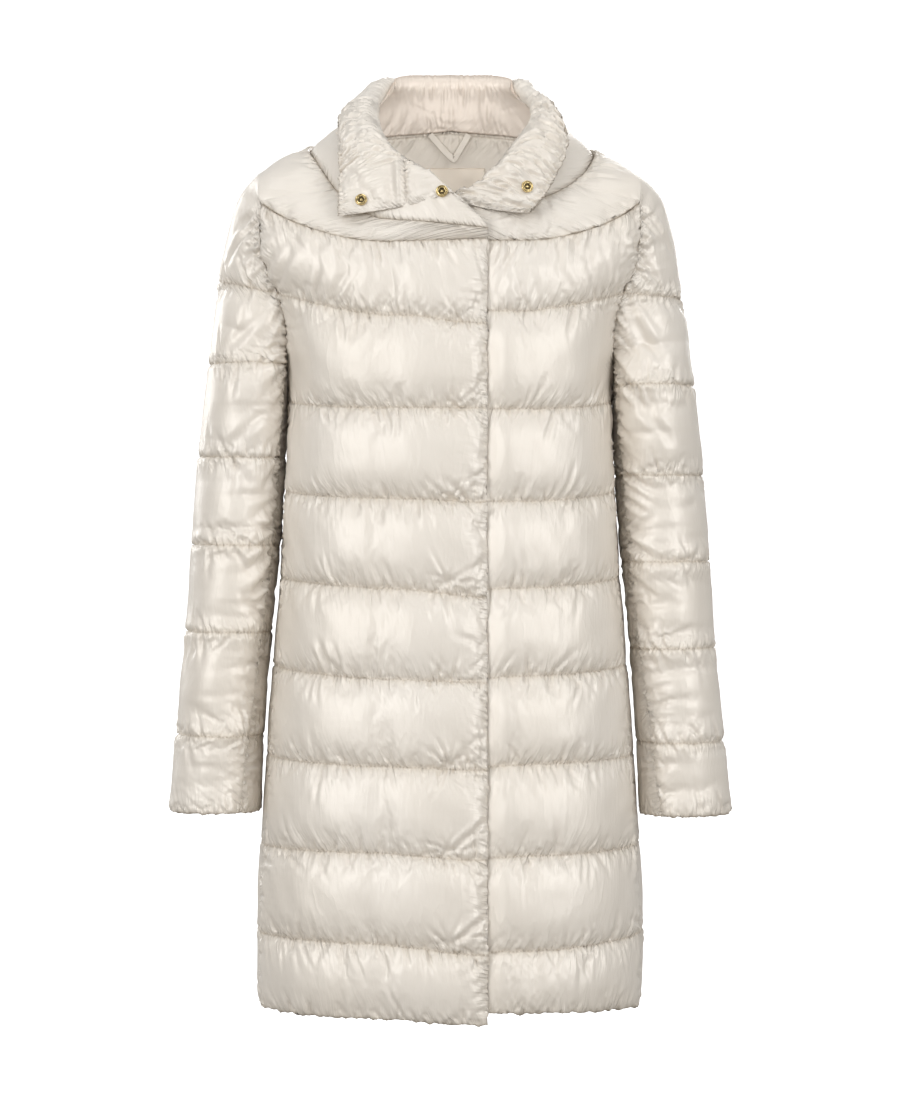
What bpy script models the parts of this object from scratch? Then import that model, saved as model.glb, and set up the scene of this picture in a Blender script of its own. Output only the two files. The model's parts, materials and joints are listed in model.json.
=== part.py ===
"""Long puffer coat, worn shape with no wearer inside.

Every panel is a padded wall made from a sheet of points that lie on the stitch level of the
garment. The wall's inside is plain, and its outside swells between the stitch lines.
Metres, +Z up. The front faces -Y and the wearer's left side is +X. The origin is the middle
of the neck, at the height of the shoulder seams.
"""
import math

import bpy
import numpy as np
from mathutils import Matrix, Vector
from mathutils.bvhtree import BVHTree

# ---- driving sizes -------------------------------------------------------------------------
WALL_IN = 0.0020            # plain cloth inside the stitch level
WALL_OUT = 0.0005           # cloth outside the stitch level
SEAM_PULL = 0.0002          # each piece stops this far short of a seam
LAID_GAP = 0.0003           # between a panel and what lies on it
BODY_CROWN = 0.0120         # how far the channels of fronts and back swell
SLEEVE_CROWN = 0.0065
COLLAR_CROWN = 0.0080
HALF_CHANNEL = 0.042        # distance from a stitch line at which the swelling is full
COLLAR_HALF_CHANNEL = 0.026
ROUNDNESS = 2.5             # exponent of the torso's section, 2 is an ellipse
COLLAR_OUT = 0.0008         # the collar's cloth on the side away from its padding
COLLAR_IN = 0.0012          # and on the padded side
SHARP_ANGLE = 35.0          # edges that turn more than this are shaded as creases

RIGHT_LAP = 0.038           # the right front ends this far past the centre, on top
LEFT_LAP = 0.020            # the left front ends this far past the centre, underneath
LAP_RISE = 0.0058           # how far the right front stands off the left one
LAP_FLAT = 0.020            # it stands off fully up to here on its own side
LAP_FADE = 0.075            # and no more from here on

ROWS = 4                    # mesh rows in one quilted channel
FRONT_COLUMNS = 10
SHOULDER_COLUMNS = 12       # even, half of them in front of the shoulder's ridge
BACK_COLUMNS = 7            # on each side of the centre back
YOKE_POINTS = FRONT_COLUMNS + SHOULDER_COLUMNS + BACK_COLUMNS + 1
UNDER_COLUMNS = 4           # across an under-sleeve, even

NECK_FRONT_ANGLE = 62.0     # the neck seam between these angles belongs to the shoulder
NECK_BACK_ANGLE = 118.0
FULL_TURN = 180.0

SLEEVE_ZONE_TOP = -0.10     # the sleeves press on the body's sides between these heights
SLEEVE_ZONE_BOTTOM = -0.67
SLEEVE_ZONE_FADE = 0.05     # the pressing fades in and out over this height
PRESSED = 0.12              # what is left of the swelling where pieces press on each other
PRESSED_FROM = 52.0         # the sleeves press from this angle of the body on
PRESSED_FADE = 18.0
SIDE_FULLNESS = 0.65        # swelling of the body's sides below the cuffs
COVERED_PAST = 0.004        # the left front stays flat this far past the right one's edge
COVERED_FADE = 0.026

SNAP_RADIUS = 0.0062
SNAP_HEIGHT = 0.0030
SNAP_SEGMENTS = 20
SNAP_SEAT = 0.0005
PINCH_X = 0.003             # hidden snaps pull the right front in, this far from the centre
PINCH_RADIUS = 0.030
PINCH_DEPTH = 0.55
MITRE_LIMIT = 0.4           # at sharp corners the seam gap grows no more than this allows

FACING_THICKNESS = 0.0010
LOOP_WIDTH = 0.0068
LOOP_THICKNESS = 0.0014


def table(text):
    """A short table with named columns: the first line names them, the first column is the key."""
    lines = [line.split() for line in text.strip().splitlines()]
    values = np.array([[float(cell) for cell in line] for line in lines[1:]])
    return {name: values[:, place] for place, name in enumerate(lines[0])}


# Torso at the stitch level: half width and depths in front of and behind the side line.
TORSO = table("""
    z       half_width  front   back
    -0.880  0.1940      0.1485  0.1425
    -0.850  0.1965      0.1500  0.1440
    -0.800  0.1975      0.1500  0.1430
    -0.750  0.1965      0.1490  0.1410
    -0.700  0.1935      0.1470  0.1380
    -0.650  0.1900      0.1440  0.1340
    -0.600  0.1870      0.1410  0.1300
    -0.550  0.1835      0.1380  0.1250
    -0.500  0.1795      0.1340  0.1190
    -0.450  0.1755      0.1300  0.1130
    -0.400  0.1720      0.1270  0.1090
    -0.350  0.1690      0.1250  0.1070
    -0.300  0.1660      0.1240  0.1080
    -0.245  0.1640      0.1230  0.1100
    -0.218  0.1680      0.1220  0.1110
    -0.175  0.1762      0.1195  0.1125
    -0.145  0.1860      0.1170  0.1125
    -0.120  0.2040      0.1135  0.1120
    -0.090  0.2150      0.1090  0.1100
    -0.060  0.2170      0.1060  0.1070
    -0.030  0.2150      0.1030  0.1020
""")

# Angle of the side seam, from the centre front.
SIDE_SEAM = table("""
    z       angle
    -0.880  73.5
    -0.600  73.5
    -0.450  75.0
    -0.300  79.0
    -0.245  84.0
    -0.218  90.0
""")

# Armhole from the yoke seam down to the underarm, with a point for each row of the body.
ARMHOLE_FRONT = table("""
    z       x       y
    -0.218  0.1680   0.0000
    -0.191  0.1675  -0.0450
    -0.164  0.1690  -0.0530
    -0.137  0.1765  -0.0600
    -0.114  0.1880  -0.0630
    -0.091  0.1930  -0.0620
    -0.068  0.1945  -0.0590
    -0.045  0.1930  -0.0550
""")
ARMHOLE_BACK = table("""
    z       x       y
    -0.218  0.1680   0.0000
    -0.191  0.1675   0.0450
    -0.164  0.1690   0.0540
    -0.137  0.1760   0.0620
    -0.114  0.1860   0.0660
    -0.091  0.1910   0.0660
    -0.068  0.1925   0.0630
    -0.045  0.1910   0.0590
""")

# Heights of the quilting seams on each front at its free edge and middle, at the side
# (shared by fronts and back) and at the centre back. The last row is the hem.
QUILT = table("""
    seam  right_edge  right_mid  left_edge  left_mid  outer    back     curl
    1     -0.0870     -0.0890    -0.0900    -0.0880   -0.0450  -0.0620  2.5
    2     -0.1730     -0.1640    -0.1580    -0.1600   -0.1370  -0.1500  1.6
    3     -0.2580     -0.2570    -0.2600    -0.2580   -0.2450  -0.2450  1.6
    4     -0.3520     -0.3480    -0.3520    -0.3510   -0.3390  -0.3400  1.6
    5     -0.4470     -0.4380    -0.4420    -0.4380   -0.4280  -0.4300  1.4
    6     -0.5320     -0.5290    -0.5300    -0.5260   -0.5180  -0.5190  1.4
    7     -0.6190     -0.6160    -0.6190    -0.6140   -0.6100  -0.6090  1.4
    8     -0.7080     -0.7020    -0.7080    -0.7050   -0.7010  -0.7000  1.4
    9     -0.8020     -0.7920    -0.8010    -0.7990   -0.7900  -0.7900  1.4
    10    -0.8720     -0.8670    -0.8600    -0.8620   -0.8670  -0.8630  1.4
""")

# Sleeve cap, a row for each row of the armhole's upper part: the height on the armhole and
# the point on the outer line of the sleeve.
CAP = table("""
    armhole_z  outer_x  outer_z  depth_angle
    -0.045     0.1905   -0.0175  84
    -0.068     0.2100   -0.0355  82
    -0.091     0.2200   -0.0620  80
    -0.114     0.2275   -0.0920  79
    -0.137     0.2350   -0.1310  80
""")

# Sleeve below the cap: outer and inner line, half depth, middle of the depth, and the angles of
# the front and back sleeve seams, from the outer line.
SLEEVE = table("""
    z       outer   inner   half_depth  middle   front_seam  back_seam
    -0.675  0.2850  0.1985  0.0500      -0.0200  126         130
    -0.590  0.2760  0.1950  0.0540      -0.0160  136         136
    -0.485  0.2665  0.1870  0.0570      -0.0100  147         142
    -0.395  0.2610  0.1780  0.0590      -0.0060  150         145
    -0.305  0.2545  0.1722  0.0605      -0.0020  151         146
    -0.220  0.2450  0.1700  0.0610       0.0000  143         142
    -0.191  0.2420  0.1700  0.0610       0.0000  131         131
    -0.164  0.2390  0.1700  0.0610       0.0000  119         118
    -0.131  0.2350  0.1700  0.0610       0.0000   80          80
""")

# Quilting seams of the sleeves: where each meets the front sleeve seam, and the last is the cuff.
SLEEVE_QUILT = table("""
    seam  right    left
    1     -0.1225  -0.1400
    2     -0.2090  -0.2310
    3     -0.3045  -0.3230
    4     -0.3950  -0.4120
    5     -0.4840  -0.5010
    6     -0.5900  -0.5970
    7     -0.6690  -0.6720
""")
PIT_TOP = -0.191            # where the front and back sleeve seams meet the armhole
PIT_EASE = 0.06             # the under-sleeve is this much narrower there
PIT_LAP = 0.0018            # and hangs this far outside the body's edge
PIT_DROP = 0.0015           # and below it

# Roll collar by the angle of its neck seam: the seam's radius and height, the line where the
# band turns over, and its free edge. x is measured towards the collar's own side.
COLLAR_RIGHT = table("""
    angle  radius  neck_z   fold_x   fold_y   fold_z   edge_x  edge_y   edge_z
    -19.0  0.1180  -0.0765  -0.0010  -0.1130  -0.0410  0.1130  -0.0990  -0.0625
     10.0  0.1140  -0.0705   0.0200  -0.1020  -0.0190  0.1125  -0.0930  -0.0480
     35.0  0.1220  -0.0650   0.0480  -0.0880   0.0000  0.1120  -0.0810  -0.0280
     62.0  0.1300  -0.0340   0.0630  -0.0620   0.0180  0.1130  -0.0600   0.0020
     77.5  0.1390  -0.0040   0.0710  -0.0300   0.0390  0.1150  -0.0360   0.0270
     90.0  0.1450   0.0130   0.0730   0.0000   0.0570  0.1150  -0.0080   0.0440
    102.0  0.1410   0.0220   0.0720   0.0300   0.0770  0.1130   0.0220   0.0540
    116.0  0.1280   0.0310   0.0650   0.0560   0.0940  0.0970   0.0640   0.0560
    143.5  0.1010   0.0420   0.0370   0.0720   0.0970  0.0590   0.0920   0.0360
    180.0  0.0870   0.0480   0.0000   0.0780   0.0980  0.0000   0.1060   0.0290
""")
COLLAR_LEFT = table("""
    angle  radius  neck_z   fold_x   fold_y   fold_z   edge_x  edge_y   edge_z
    -11.0  0.1060  -0.0560  -0.0010  -0.1070  -0.0430  0.0805  -0.1130  -0.0612
     26.5  0.1120  -0.0525   0.0310  -0.1010  -0.0270  0.0960  -0.1000  -0.0420
     50.0  0.1250  -0.0415   0.0500  -0.0780  -0.0040  0.1075  -0.0810  -0.0205
     64.5  0.1340  -0.0280   0.0655  -0.0550   0.0190  0.1175  -0.0630   0.0030
     78.0  0.1430  -0.0110   0.0800  -0.0200   0.0420  0.1210  -0.0450   0.0200
     90.0  0.1490   0.0090   0.0850   0.0050   0.0560  0.1160  -0.0250   0.0430
    102.0  0.1440   0.0190   0.0810   0.0300   0.0760  0.1040   0.0100   0.0660
    116.0  0.1280   0.0290   0.0690   0.0560   0.0930  0.0950   0.0600   0.0590
    143.5  0.1010   0.0420   0.0370   0.0720   0.0970  0.0590   0.0920   0.0360
    180.0  0.0870   0.0480   0.0000   0.0780   0.0980  0.0000   0.1060   0.0290
""")
# Across the collar: part of the stand or fall, how far along it, and how much of the padding.
COLLAR_PROFILE = table("""
    fall  along  padding
    0     0.00   0.00
    0     0.30   0.00
    0     0.62   0.10
    0     0.88   0.40
    0     1.00   0.90
    1     0.16   1.00
    1     0.42   1.00
    1     0.72   1.00
    1     1.00   1.00
""")
STAND_HOLLOW = 0.0030       # the stand curves in by this
FALL_SWELL = 0.0180         # and the fall bows out over the fold by this factor

# The largest folds, as troughs between two points seen from the front. Facing is -1 on the
# front, 1 on the back.
FOLDS = table("""
    facing  from_x   from_z   to_x     to_z    width   depth
    -1     -0.1680  -0.0850  -0.2150  -0.1500  0.0120  0.0040
    -1     -0.1820  -0.1500  -0.2250  -0.1950  0.0110  0.0035
    -1     -0.1500  -0.0950  -0.1150  -0.1500  0.0120  0.0045
    -1     -0.1950  -0.2400  -0.2300  -0.2850  0.0110  0.0030
    -1     -0.1000  -0.1050  -0.0850  -0.1600  0.0100  0.0035
    -1      0.1780  -0.1550   0.2180  -0.2150  0.0120  0.0040
    -1      0.1550  -0.0950   0.1350  -0.1450  0.0110  0.0040
    -1      0.1850  -0.0800   0.2100  -0.1250  0.0100  0.0030
    -1      0.0900  -0.1050   0.0980  -0.1550  0.0100  0.0030
    -1      0.1900  -0.2500   0.2250  -0.2950  0.0110  0.0030
    -1     -0.0030  -0.7000   0.0380  -0.6650  0.0120  0.0045
    -1     -0.0030  -0.7900   0.0380  -0.7600  0.0120  0.0045
    -1     -0.1700  -0.5150  -0.1450  -0.5700  0.0110  0.0030
    -1     -0.0465   0.0050  -0.0440  -0.0600  0.0090  0.0060
     1     -0.1500  -0.0950  -0.1150  -0.1500  0.0120  0.0045
     1      0.1450  -0.1000   0.1200  -0.1550  0.0120  0.0040
     1     -0.1850  -0.1550  -0.2250  -0.2100  0.0110  0.0035
     1      0.1820  -0.1500   0.2250  -0.2000  0.0110  0.0035
     1      0.1650  -0.4400   0.1350  -0.5000  0.0110  0.0030
     1     -0.1650  -0.5250  -0.1300  -0.5800  0.0110  0.0030
""")

SNAPS = table("""
    place   x        z
    0      -0.0895  -0.0470
    1       0.0775  -0.0340
    2      -0.0080  -0.0400
""")
SNAP_NAMES = ("snap_collar_right", "snap_collar_left", "snap_neck")
# A snap's turned outline, as parts of its radius and height.
SNAP_PROFILE = table("""
    ring  radius  height
    0     0.15    1.00
    1     0.45    0.82
    2     0.55    0.55
    3     0.80    0.75
    4     0.95    0.55
    5     1.00    0.25
    6     0.90    0.00
""")
# Middle line of the hanger loop, as seen from the front.
LOOP_LINE = table("""
    place  x        z
    0     -0.0215   0.0430
    1     -0.0130   0.0335
    2     -0.0045   0.0240
    3      0.0040   0.0160
    4      0.0095   0.0250
    5      0.0150   0.0340
    6      0.0200   0.0430
""")
LOOP_STAND_OFF = 0.0022     # in front of the facing
# The patch's corners, as seen from the front.
LABEL_LEFT, LABEL_RIGHT = -0.033, 0.037
LABEL_BOTTOM, LABEL_TOP = -0.030, 0.008
LABEL_COLUMNS, LABEL_ROWS = 6, 3
LABEL_GAP = 0.0006
LABEL_HALF = 0.0004
LINING_FROM = 104.0         # the collar's lining starts at this angle of the neck seam
LINING_ROWS = 4
FACING_INSET = 0.12         # the facing's ends stop this part of a row short
FACING_TOP = 0.038          # what hangs in front of the facing is set back from it up to here

SHELL_COLOUR = (0.79, 0.73, 0.64)
LINING_COLOUR = (0.80, 0.69, 0.59)
FACING_COLOUR = (0.62, 0.55, 0.46)
PATCH_COLOUR = (0.83, 0.70, 0.55)
GOLD_COLOUR = (0.78, 0.60, 0.26)


# ---- reading the tables --------------------------------------------------------------------
def smooth_value(source, column, at):
    """Value of a column at a key, on a curve through the rows that never overshoots them."""
    keys = source[next(iter(source))]
    values = source[column]
    at = min(max(at, keys[0]), keys[-1])
    place = min(int(np.searchsorted(keys, at, side="right")) - 1, len(keys) - 2)
    steps = np.diff(values) / np.diff(keys)
    slopes = np.concatenate(([steps[0]], np.zeros(len(keys) - 2), [steps[-1]]))
    for i in range(1, len(keys) - 1):
        if steps[i - 1] * steps[i] > 0:
            slopes[i] = 2 * steps[i - 1] * steps[i] / (steps[i - 1] + steps[i])
    width = keys[place + 1] - keys[place]
    t = (at - keys[place]) / width
    start, end = values[place], values[place + 1]
    bend_start = width * slopes[place] * (t - 2 * t ** 2 + t ** 3)
    bend_end = width * slopes[place + 1] * (t ** 3 - t ** 2)
    return start + (end - start) * (3 * t ** 2 - 2 * t ** 3) + bend_start + bend_end


def straight_value(source, column, at):
    return float(np.interp(at, source[next(iter(source))], source[column]))


def ease(value):
    value = min(max(value, 0.0), 1.0)
    return value * value * (3 - 2 * value)


def unit(vector):
    return vector / max(np.linalg.norm(vector), 1e-12)


# ---- the body's surface --------------------------------------------------------------------
def torso_point(angle, z):
    """Point of the torso at an angle from the centre front, towards its own side."""
    sine, cosine = math.sin(math.radians(angle)), math.cos(math.radians(angle))
    depth = smooth_value(TORSO, "front" if cosine > 0 else "back", z)
    width = smooth_value(TORSO, "half_width", z)
    radius = ((abs(sine) / width) ** ROUNDNESS + (abs(cosine) / depth) ** ROUNDNESS) ** (-1 / ROUNDNESS)
    return np.array((radius * sine, -radius * cosine, z))


def armhole_point(armhole, z):
    return np.array((straight_value(armhole, "x", z), straight_value(armhole, "y", z), z))


def body_edge(armhole, z):
    """Outer edge of a body panel: the armhole, and the side seam below the underarm."""
    if z >= armhole["z"][0]:
        return armhole_point(armhole, z)
    return torso_point(smooth_value(SIDE_SEAM, "angle", z), z)


def quilt_rows():
    """The body's mesh rows: the seam above, and how far down its channel each row is."""
    last = len(QUILT["seam"]) - 1
    rows = [(seam, step / ROWS) for seam in range(last) for step in range(ROWS)]
    return rows + [(last - 1, 1.0)]


def quilt_height(column, seam, down):
    return QUILT[column][seam] * (1 - down) + QUILT[column][seam + 1] * down


def body_row_point(across, start_angle, heights, curl, armhole):
    """Point of a body row, from its inner end (across 0) to its outer edge (across 1)."""
    inner_z, middle_z, outer_z = heights
    if across < 0.5:
        z = inner_z + (middle_z - inner_z) * ease(across / 0.5)
    else:
        z = middle_z + (outer_z - middle_z) * ((across - 0.5) / 0.5) ** curl
    edge = body_edge(armhole, outer_z)
    edge_angle = math.degrees(math.atan2(edge[0], -edge[1]))
    point = torso_point(start_angle + (edge_angle - start_angle) * across, z)
    return point + (edge - torso_point(edge_angle, outer_z)) * across ** 4


def lap_rise(x):
    """How far the right front is lifted over the left one, by x towards its own side."""
    return LAP_RISE * ease((LAP_FADE - x) / (LAP_FADE - LAP_FLAT))


def placed(point, side):
    """From a side's own coordinates to the coat's. The right side is -1, and laps over."""
    x, y, z = point
    if side < 0 and y < 0:
        y -= lap_rise(x)
    return np.array((side * x, y, z))


def front_row(side, row):
    name = "right" if side < 0 else "left"
    lap = RIGHT_LAP if side < 0 else LEFT_LAP
    seam, down = row
    heights = [quilt_height(column, seam, down) for column in (name + "_edge", name + "_mid", "outer")]
    start = -math.degrees(math.atan2(lap, smooth_value(TORSO, "front", heights[0])))
    curl = quilt_height("curl", seam, down)
    return [placed(body_row_point(j / FRONT_COLUMNS, start, heights, curl, ARMHOLE_FRONT), side)
            for j in range(FRONT_COLUMNS + 1)]


def back_row(side, row):
    """Half a row of the back, from the centre back to the side."""
    seam, down = row
    middle = quilt_height("back", seam, down)
    heights = (middle, middle, quilt_height("outer", seam, down))
    curl = quilt_height("curl", seam, down)
    return [placed(body_row_point(j / BACK_COLUMNS, FULL_TURN, heights, curl, ARMHOLE_BACK), side)
            for j in range(BACK_COLUMNS + 1)]


# ---- the sleeves' surface ------------------------------------------------------------------
def ring_seam(z, which):
    """Point of the front or back sleeve seam on the sleeve's ring."""
    outer, inner = smooth_value(SLEEVE, "outer", z), smooth_value(SLEEVE, "inner", z)
    angle = math.radians(smooth_value(SLEEVE, which + "_seam", z))
    reach = (outer - inner) / 2
    turn = -1 if which == "front" else 1
    y = smooth_value(SLEEVE, "middle", z) + turn * smooth_value(SLEEVE, "half_depth", z) * math.sin(angle)
    return np.array((inner + reach + reach * math.cos(angle), y, z))


def pit_share(z, second_seam):
    """1 at the top of the under-sleeve, 0 from the second quilting seam on."""
    return max(z - second_seam, 0) / (PIT_TOP - second_seam)


def sleeve_seam(z, which, seams):
    """Edge of the sleeve: the armhole, then straight to the ring's seam, then along it."""
    armhole = ARMHOLE_FRONT if which == "front" else ARMHOLE_BACK
    if z >= PIT_TOP:
        return armhole_point(armhole, z)
    if z > seams[2]:
        top, bottom = armhole_point(armhole, PIT_TOP), ring_seam(seams[2], which)
        straight = top + (bottom - top) * (PIT_TOP - z) / (PIT_TOP - seams[2])
        return straight + np.array((PIT_LAP, 0, 0)) * pit_share(z, seams[1])
    return ring_seam(z, which)


def arc_to_edge(outer, edge, middle_y, angle, part):
    """Point on the sleeve's arc from the outer line (part 0) to a seam (part 1)."""
    full = math.radians(angle)
    turn = full * part
    reach = (outer[0] - edge[0]) / (1 - math.cos(full))
    depth = (edge[1] - middle_y) / math.sin(full)
    drop = (1 - math.cos(turn)) / (1 - math.cos(full))
    x = outer[0] - reach * (1 - math.cos(turn))
    return np.array((x, middle_y + depth * math.sin(turn), outer[2] + (edge[2] - outer[2]) * drop))


def sleeve_rows(side):
    """Rows of the upper sleeve: height on the seams, outer point, arc angles, and seam or not."""
    seams = SLEEVE_QUILT["right" if side < 0 else "left"]
    rows = []
    for i in range(len(CAP["armhole_z"])):
        last = i == len(CAP["armhole_z"]) - 1
        outer_z = seams[0] if last else CAP["outer_z"][i]
        angle = CAP["depth_angle"][i]
        rows.append((CAP["armhole_z"][i], CAP["outer_x"][i], outer_z, angle, angle, last))
    armhole = ARMHOLE_FRONT["z"]
    edge_heights = [armhole[2], PIT_TOP, (PIT_TOP + seams[1]) / 2, seams[1]]
    for step, edge_z in enumerate(edge_heights):
        outer_z = seams[0] + (seams[1] - seams[0]) * (step + 1) / ROWS
        rows.append((edge_z, smooth_value(SLEEVE, "outer", outer_z), outer_z,
                     smooth_value(SLEEVE, "front_seam", edge_z),
                     smooth_value(SLEEVE, "back_seam", edge_z), step == ROWS - 1))
    for upper, lower in zip(seams[1:], seams[2:]):
        for step in range(1, ROWS + 1):
            z = upper + (lower - upper) * step / ROWS
            rows.append((z, smooth_value(SLEEVE, "outer", z), z, smooth_value(SLEEVE, "front_seam", z),
                         smooth_value(SLEEVE, "back_seam", z), step == ROWS))
    return rows


def sleeve_row_points(side, row):
    """A row of the upper sleeve, from the front seam over the outer line to the back seam."""
    edge_z, outer_x, outer_z, front_angle, back_angle, _ = row
    seams = SLEEVE_QUILT["right" if side < 0 else "left"]
    middle = smooth_value(SLEEVE, "middle", edge_z)
    outer = np.array((outer_x, middle, outer_z))
    half = SHOULDER_COLUMNS // 2
    front, back = sleeve_seam(edge_z, "front", seams), sleeve_seam(edge_z, "back", seams)
    points = [arc_to_edge(outer, front, middle, front_angle, 1 - j / half) for j in range(half)]
    points += [arc_to_edge(outer, back, middle, back_angle, j / half) for j in range(half + 1)]
    return [point * (side, 1, 1) for point in points]


def under_ring_point(z, across):
    """Point of the under-sleeve, from the front seam (-1) by the inner line (0) to the back (1)."""
    which = "front" if across < 0 else "back"
    outer, inner = smooth_value(SLEEVE, "outer", z), smooth_value(SLEEVE, "inner", z)
    reach = (outer - inner) / 2
    seam = smooth_value(SLEEVE, which + "_seam", z)
    angle = math.radians(FULL_TURN - (FULL_TURN - seam) * abs(across))
    y = smooth_value(SLEEVE, "middle", z)
    y += math.copysign(smooth_value(SLEEVE, "half_depth", z) * math.sin(angle), across)
    return np.array((inner + reach + reach * math.cos(angle), y, z))


def under_sleeve_rows(side):
    """Rows of the under-sleeve and whether each is stitched, from the underarm to the cuff."""
    seams = SLEEVE_QUILT["right" if side < 0 else "left"]
    spread = [2 * j / UNDER_COLUMNS - 1 for j in range(UNDER_COLUMNS + 1)]
    heights = [PIT_TOP, (PIT_TOP + seams[1]) / 2, seams[1]]
    heights += [seams[1] + (seams[2] - seams[1]) * step / ROWS for step in range(1, ROWS + 1)]
    pit = armhole_point(ARMHOLE_FRONT, ARMHOLE_FRONT["z"][0])
    rows = []
    for z in heights:
        down = (PIT_TOP - z) / (PIT_TOP - seams[2])
        share = pit_share(z, seams[1])
        points = []
        for across in spread:
            eased = across * (1 - PIT_EASE * share)
            corner = armhole_point(ARMHOLE_FRONT if across < 0 else ARMHOLE_BACK, PIT_TOP)
            top = pit + (corner - pit) * abs(eased)
            point = top + (under_ring_point(seams[2], eased) - top) * down
            points.append(point + np.array((PIT_LAP, 0, -PIT_DROP)) * share)
        rows.append((points, z in (heights[0], heights[-1])))
    for upper, lower in zip(seams[2:], seams[3:]):
        for step in range(1, ROWS + 1):
            z = upper + (lower - upper) * step / ROWS
            rows.append(([under_ring_point(z, across) for across in spread], step == ROWS))
    return [([point * (side, 1, 1) for point in points], stitched) for points, stitched in rows]


# ---- neck seam and collar ------------------------------------------------------------------
def neck_angles(side):
    """Angles of the neck seam's points, one for each column of the yoke."""
    start = (COLLAR_RIGHT if side < 0 else COLLAR_LEFT)["angle"][0]
    front = np.linspace(start, NECK_FRONT_ANGLE, FRONT_COLUMNS + 1)
    shoulder = np.linspace(NECK_FRONT_ANGLE, NECK_BACK_ANGLE, SHOULDER_COLUMNS + 1)
    back = np.linspace(NECK_BACK_ANGLE, FULL_TURN, BACK_COLUMNS + 1)
    return [*front, *shoulder[1:], *back[1:]]


def collar_lines(side, angle):
    """Neck, fold and free edge of the collar at an angle of the neck seam."""
    source = COLLAR_RIGHT if side < 0 else COLLAR_LEFT
    value = {name: smooth_value(source, name, angle) for name in source}
    turn = math.radians(angle)
    neck = (value["radius"] * math.sin(turn), -value["radius"] * math.cos(turn), value["neck_z"])
    fold = (value["fold_x"], value["fold_y"], value["fold_z"])
    edge = (value["edge_x"], value["edge_y"], value["edge_z"])
    return [placed(point, side) for point in (neck, fold, edge)]


def collar_section(side, angle):
    """The collar's section from the neck seam up the stand, over the fold and down the fall."""
    neck, fold, edge = collar_lines(side, angle)
    rise = unit(fold - neck)
    outward = edge - fold
    outward = unit(outward - rise * np.dot(outward, rise))
    points = []
    for fall, along in zip(COLLAR_PROFILE["fall"], COLLAR_PROFILE["along"]):
        if fall:
            bow = FALL_SWELL * math.sqrt(along) * (1 - along)
            points.append(fold + (edge - fold) * along + outward * bow)
        else:
            bow = STAND_HOLLOW * math.sin(math.pi * along)
            points.append(neck + (fold - neck) * along - outward * bow)
    return points


def yoke_rows(side):
    """Rows from the neck seam down to the yoke seam and the top of the sleeve."""
    front = front_row(side, (0, 0.0))
    shoulder = sleeve_row_points(side, sleeve_rows(side)[0])
    back = back_row(side, (0, 0.0))[::-1]
    lower = [*front, *shoulder[1:], *back[1:]]
    upper = [collar_lines(side, angle)[0] for angle in neck_angles(side)]
    return [[top + (bottom - top) * step / ROWS for top, bottom in zip(upper, lower)]
            for step in range(ROWS + 1)]


# ---- sheets and walls ----------------------------------------------------------------------
class Sheet:
    """Points at the stitch level, joined into triangles, with the edges that are stitched."""

    def __init__(self, name, limb):
        self.name = name
        self.limb = limb
        self.points = []
        self.faces = []
        self.stitches = set()
        self.places = {}

    def vertex(self, point):
        key = point_key(point)
        if key not in self.places:
            self.places[key] = len(self.points)
            self.points.append(np.array(point))
        return self.places[key]

    def add_grid(self, rows, flip, stitched_rows=()):
        numbers = [[self.vertex(point) for point in row] for row in rows]
        for i in range(len(numbers) - 1):
            for j in range(len(numbers[i]) - 1):
                upper, lower = numbers[i], numbers[i + 1]
                for face in ([upper[j], lower[j], lower[j + 1]], [upper[j], lower[j + 1], upper[j + 1]]):
                    self.faces.append(face[::-1] if flip else face)
        for i in stitched_rows:
            for j in range(len(numbers[i]) - 1):
                self.stitches.add(frozenset((numbers[i][j], numbers[i][j + 1])))

    def lay(self, parent, points, numbers):
        """Take the parent's faces between the numbered points, at their places in points."""
        chosen = {int(i) for i in numbers}
        for face in parent.faces:
            if chosen.issuperset(face):
                self.faces.append([self.vertex(points[i]) for i in face])

    def boundary(self):
        """Edges with one face, in the direction in which that face runs, with the face."""
        uses = {}
        for face in self.faces:
            for a, b in zip(face, face[1:] + face[:1]):
                uses.setdefault(frozenset((a, b)), []).append((a, b, face))
        return [found[0] for found in uses.values() if len(found) == 1]

    def normals(self):
        result = np.zeros((len(self.points), 3))
        for face in self.faces:
            first, second, third = (self.points[i] for i in face)
            across = np.cross(second - first, third - first)
            for i in face:
                result[i] += across
        return np.array([unit(normal) for normal in result])


def point_key(point):
    return tuple(int(round(value * 1e5)) for value in point)


def share_seam_directions(sheets):
    """One wall direction for each seam point, halfway between the limbs that meet there."""
    found = {}
    for sheet in sheets:
        sheet.directions = sheet.normals()
        for i in {i for a, b, _ in sheet.boundary() for i in (a, b)}:
            limbs = found.setdefault(point_key(sheet.points[i]), {})
            limbs[sheet.limb] = limbs.get(sheet.limb, 0) + sheet.directions[i]
    for sheet in sheets:
        for i in {i for a, b, _ in sheet.boundary() for i in (a, b)}:
            limbs = found[point_key(sheet.points[i])]
            sheet.directions[i] = unit(sum(unit(total) for total in limbs.values()))


def pull_from_seams(sheet):
    """Points with the sheet's edges drawn back by the seam gap."""
    pulls = {}
    for a, b, face in sheet.boundary():
        along = unit(sheet.points[b] - sheet.points[a])
        middle = (sheet.points[a] + sheet.points[b]) / 2
        inward = sum(sheet.points[i] for i in face) / len(face) - middle
        for i in (a, b):
            part = inward - along * np.dot(inward, along)
            part = part - sheet.directions[i] * np.dot(part, sheet.directions[i])
            pulls.setdefault(i, []).append(unit(part))
    points = np.array(sheet.points)
    for i, (first, second) in pulls.items():
        points[i] += SEAM_PULL * (first + second) / max(1 + np.dot(first, second), MITRE_LIMIT)
    return points


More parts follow.
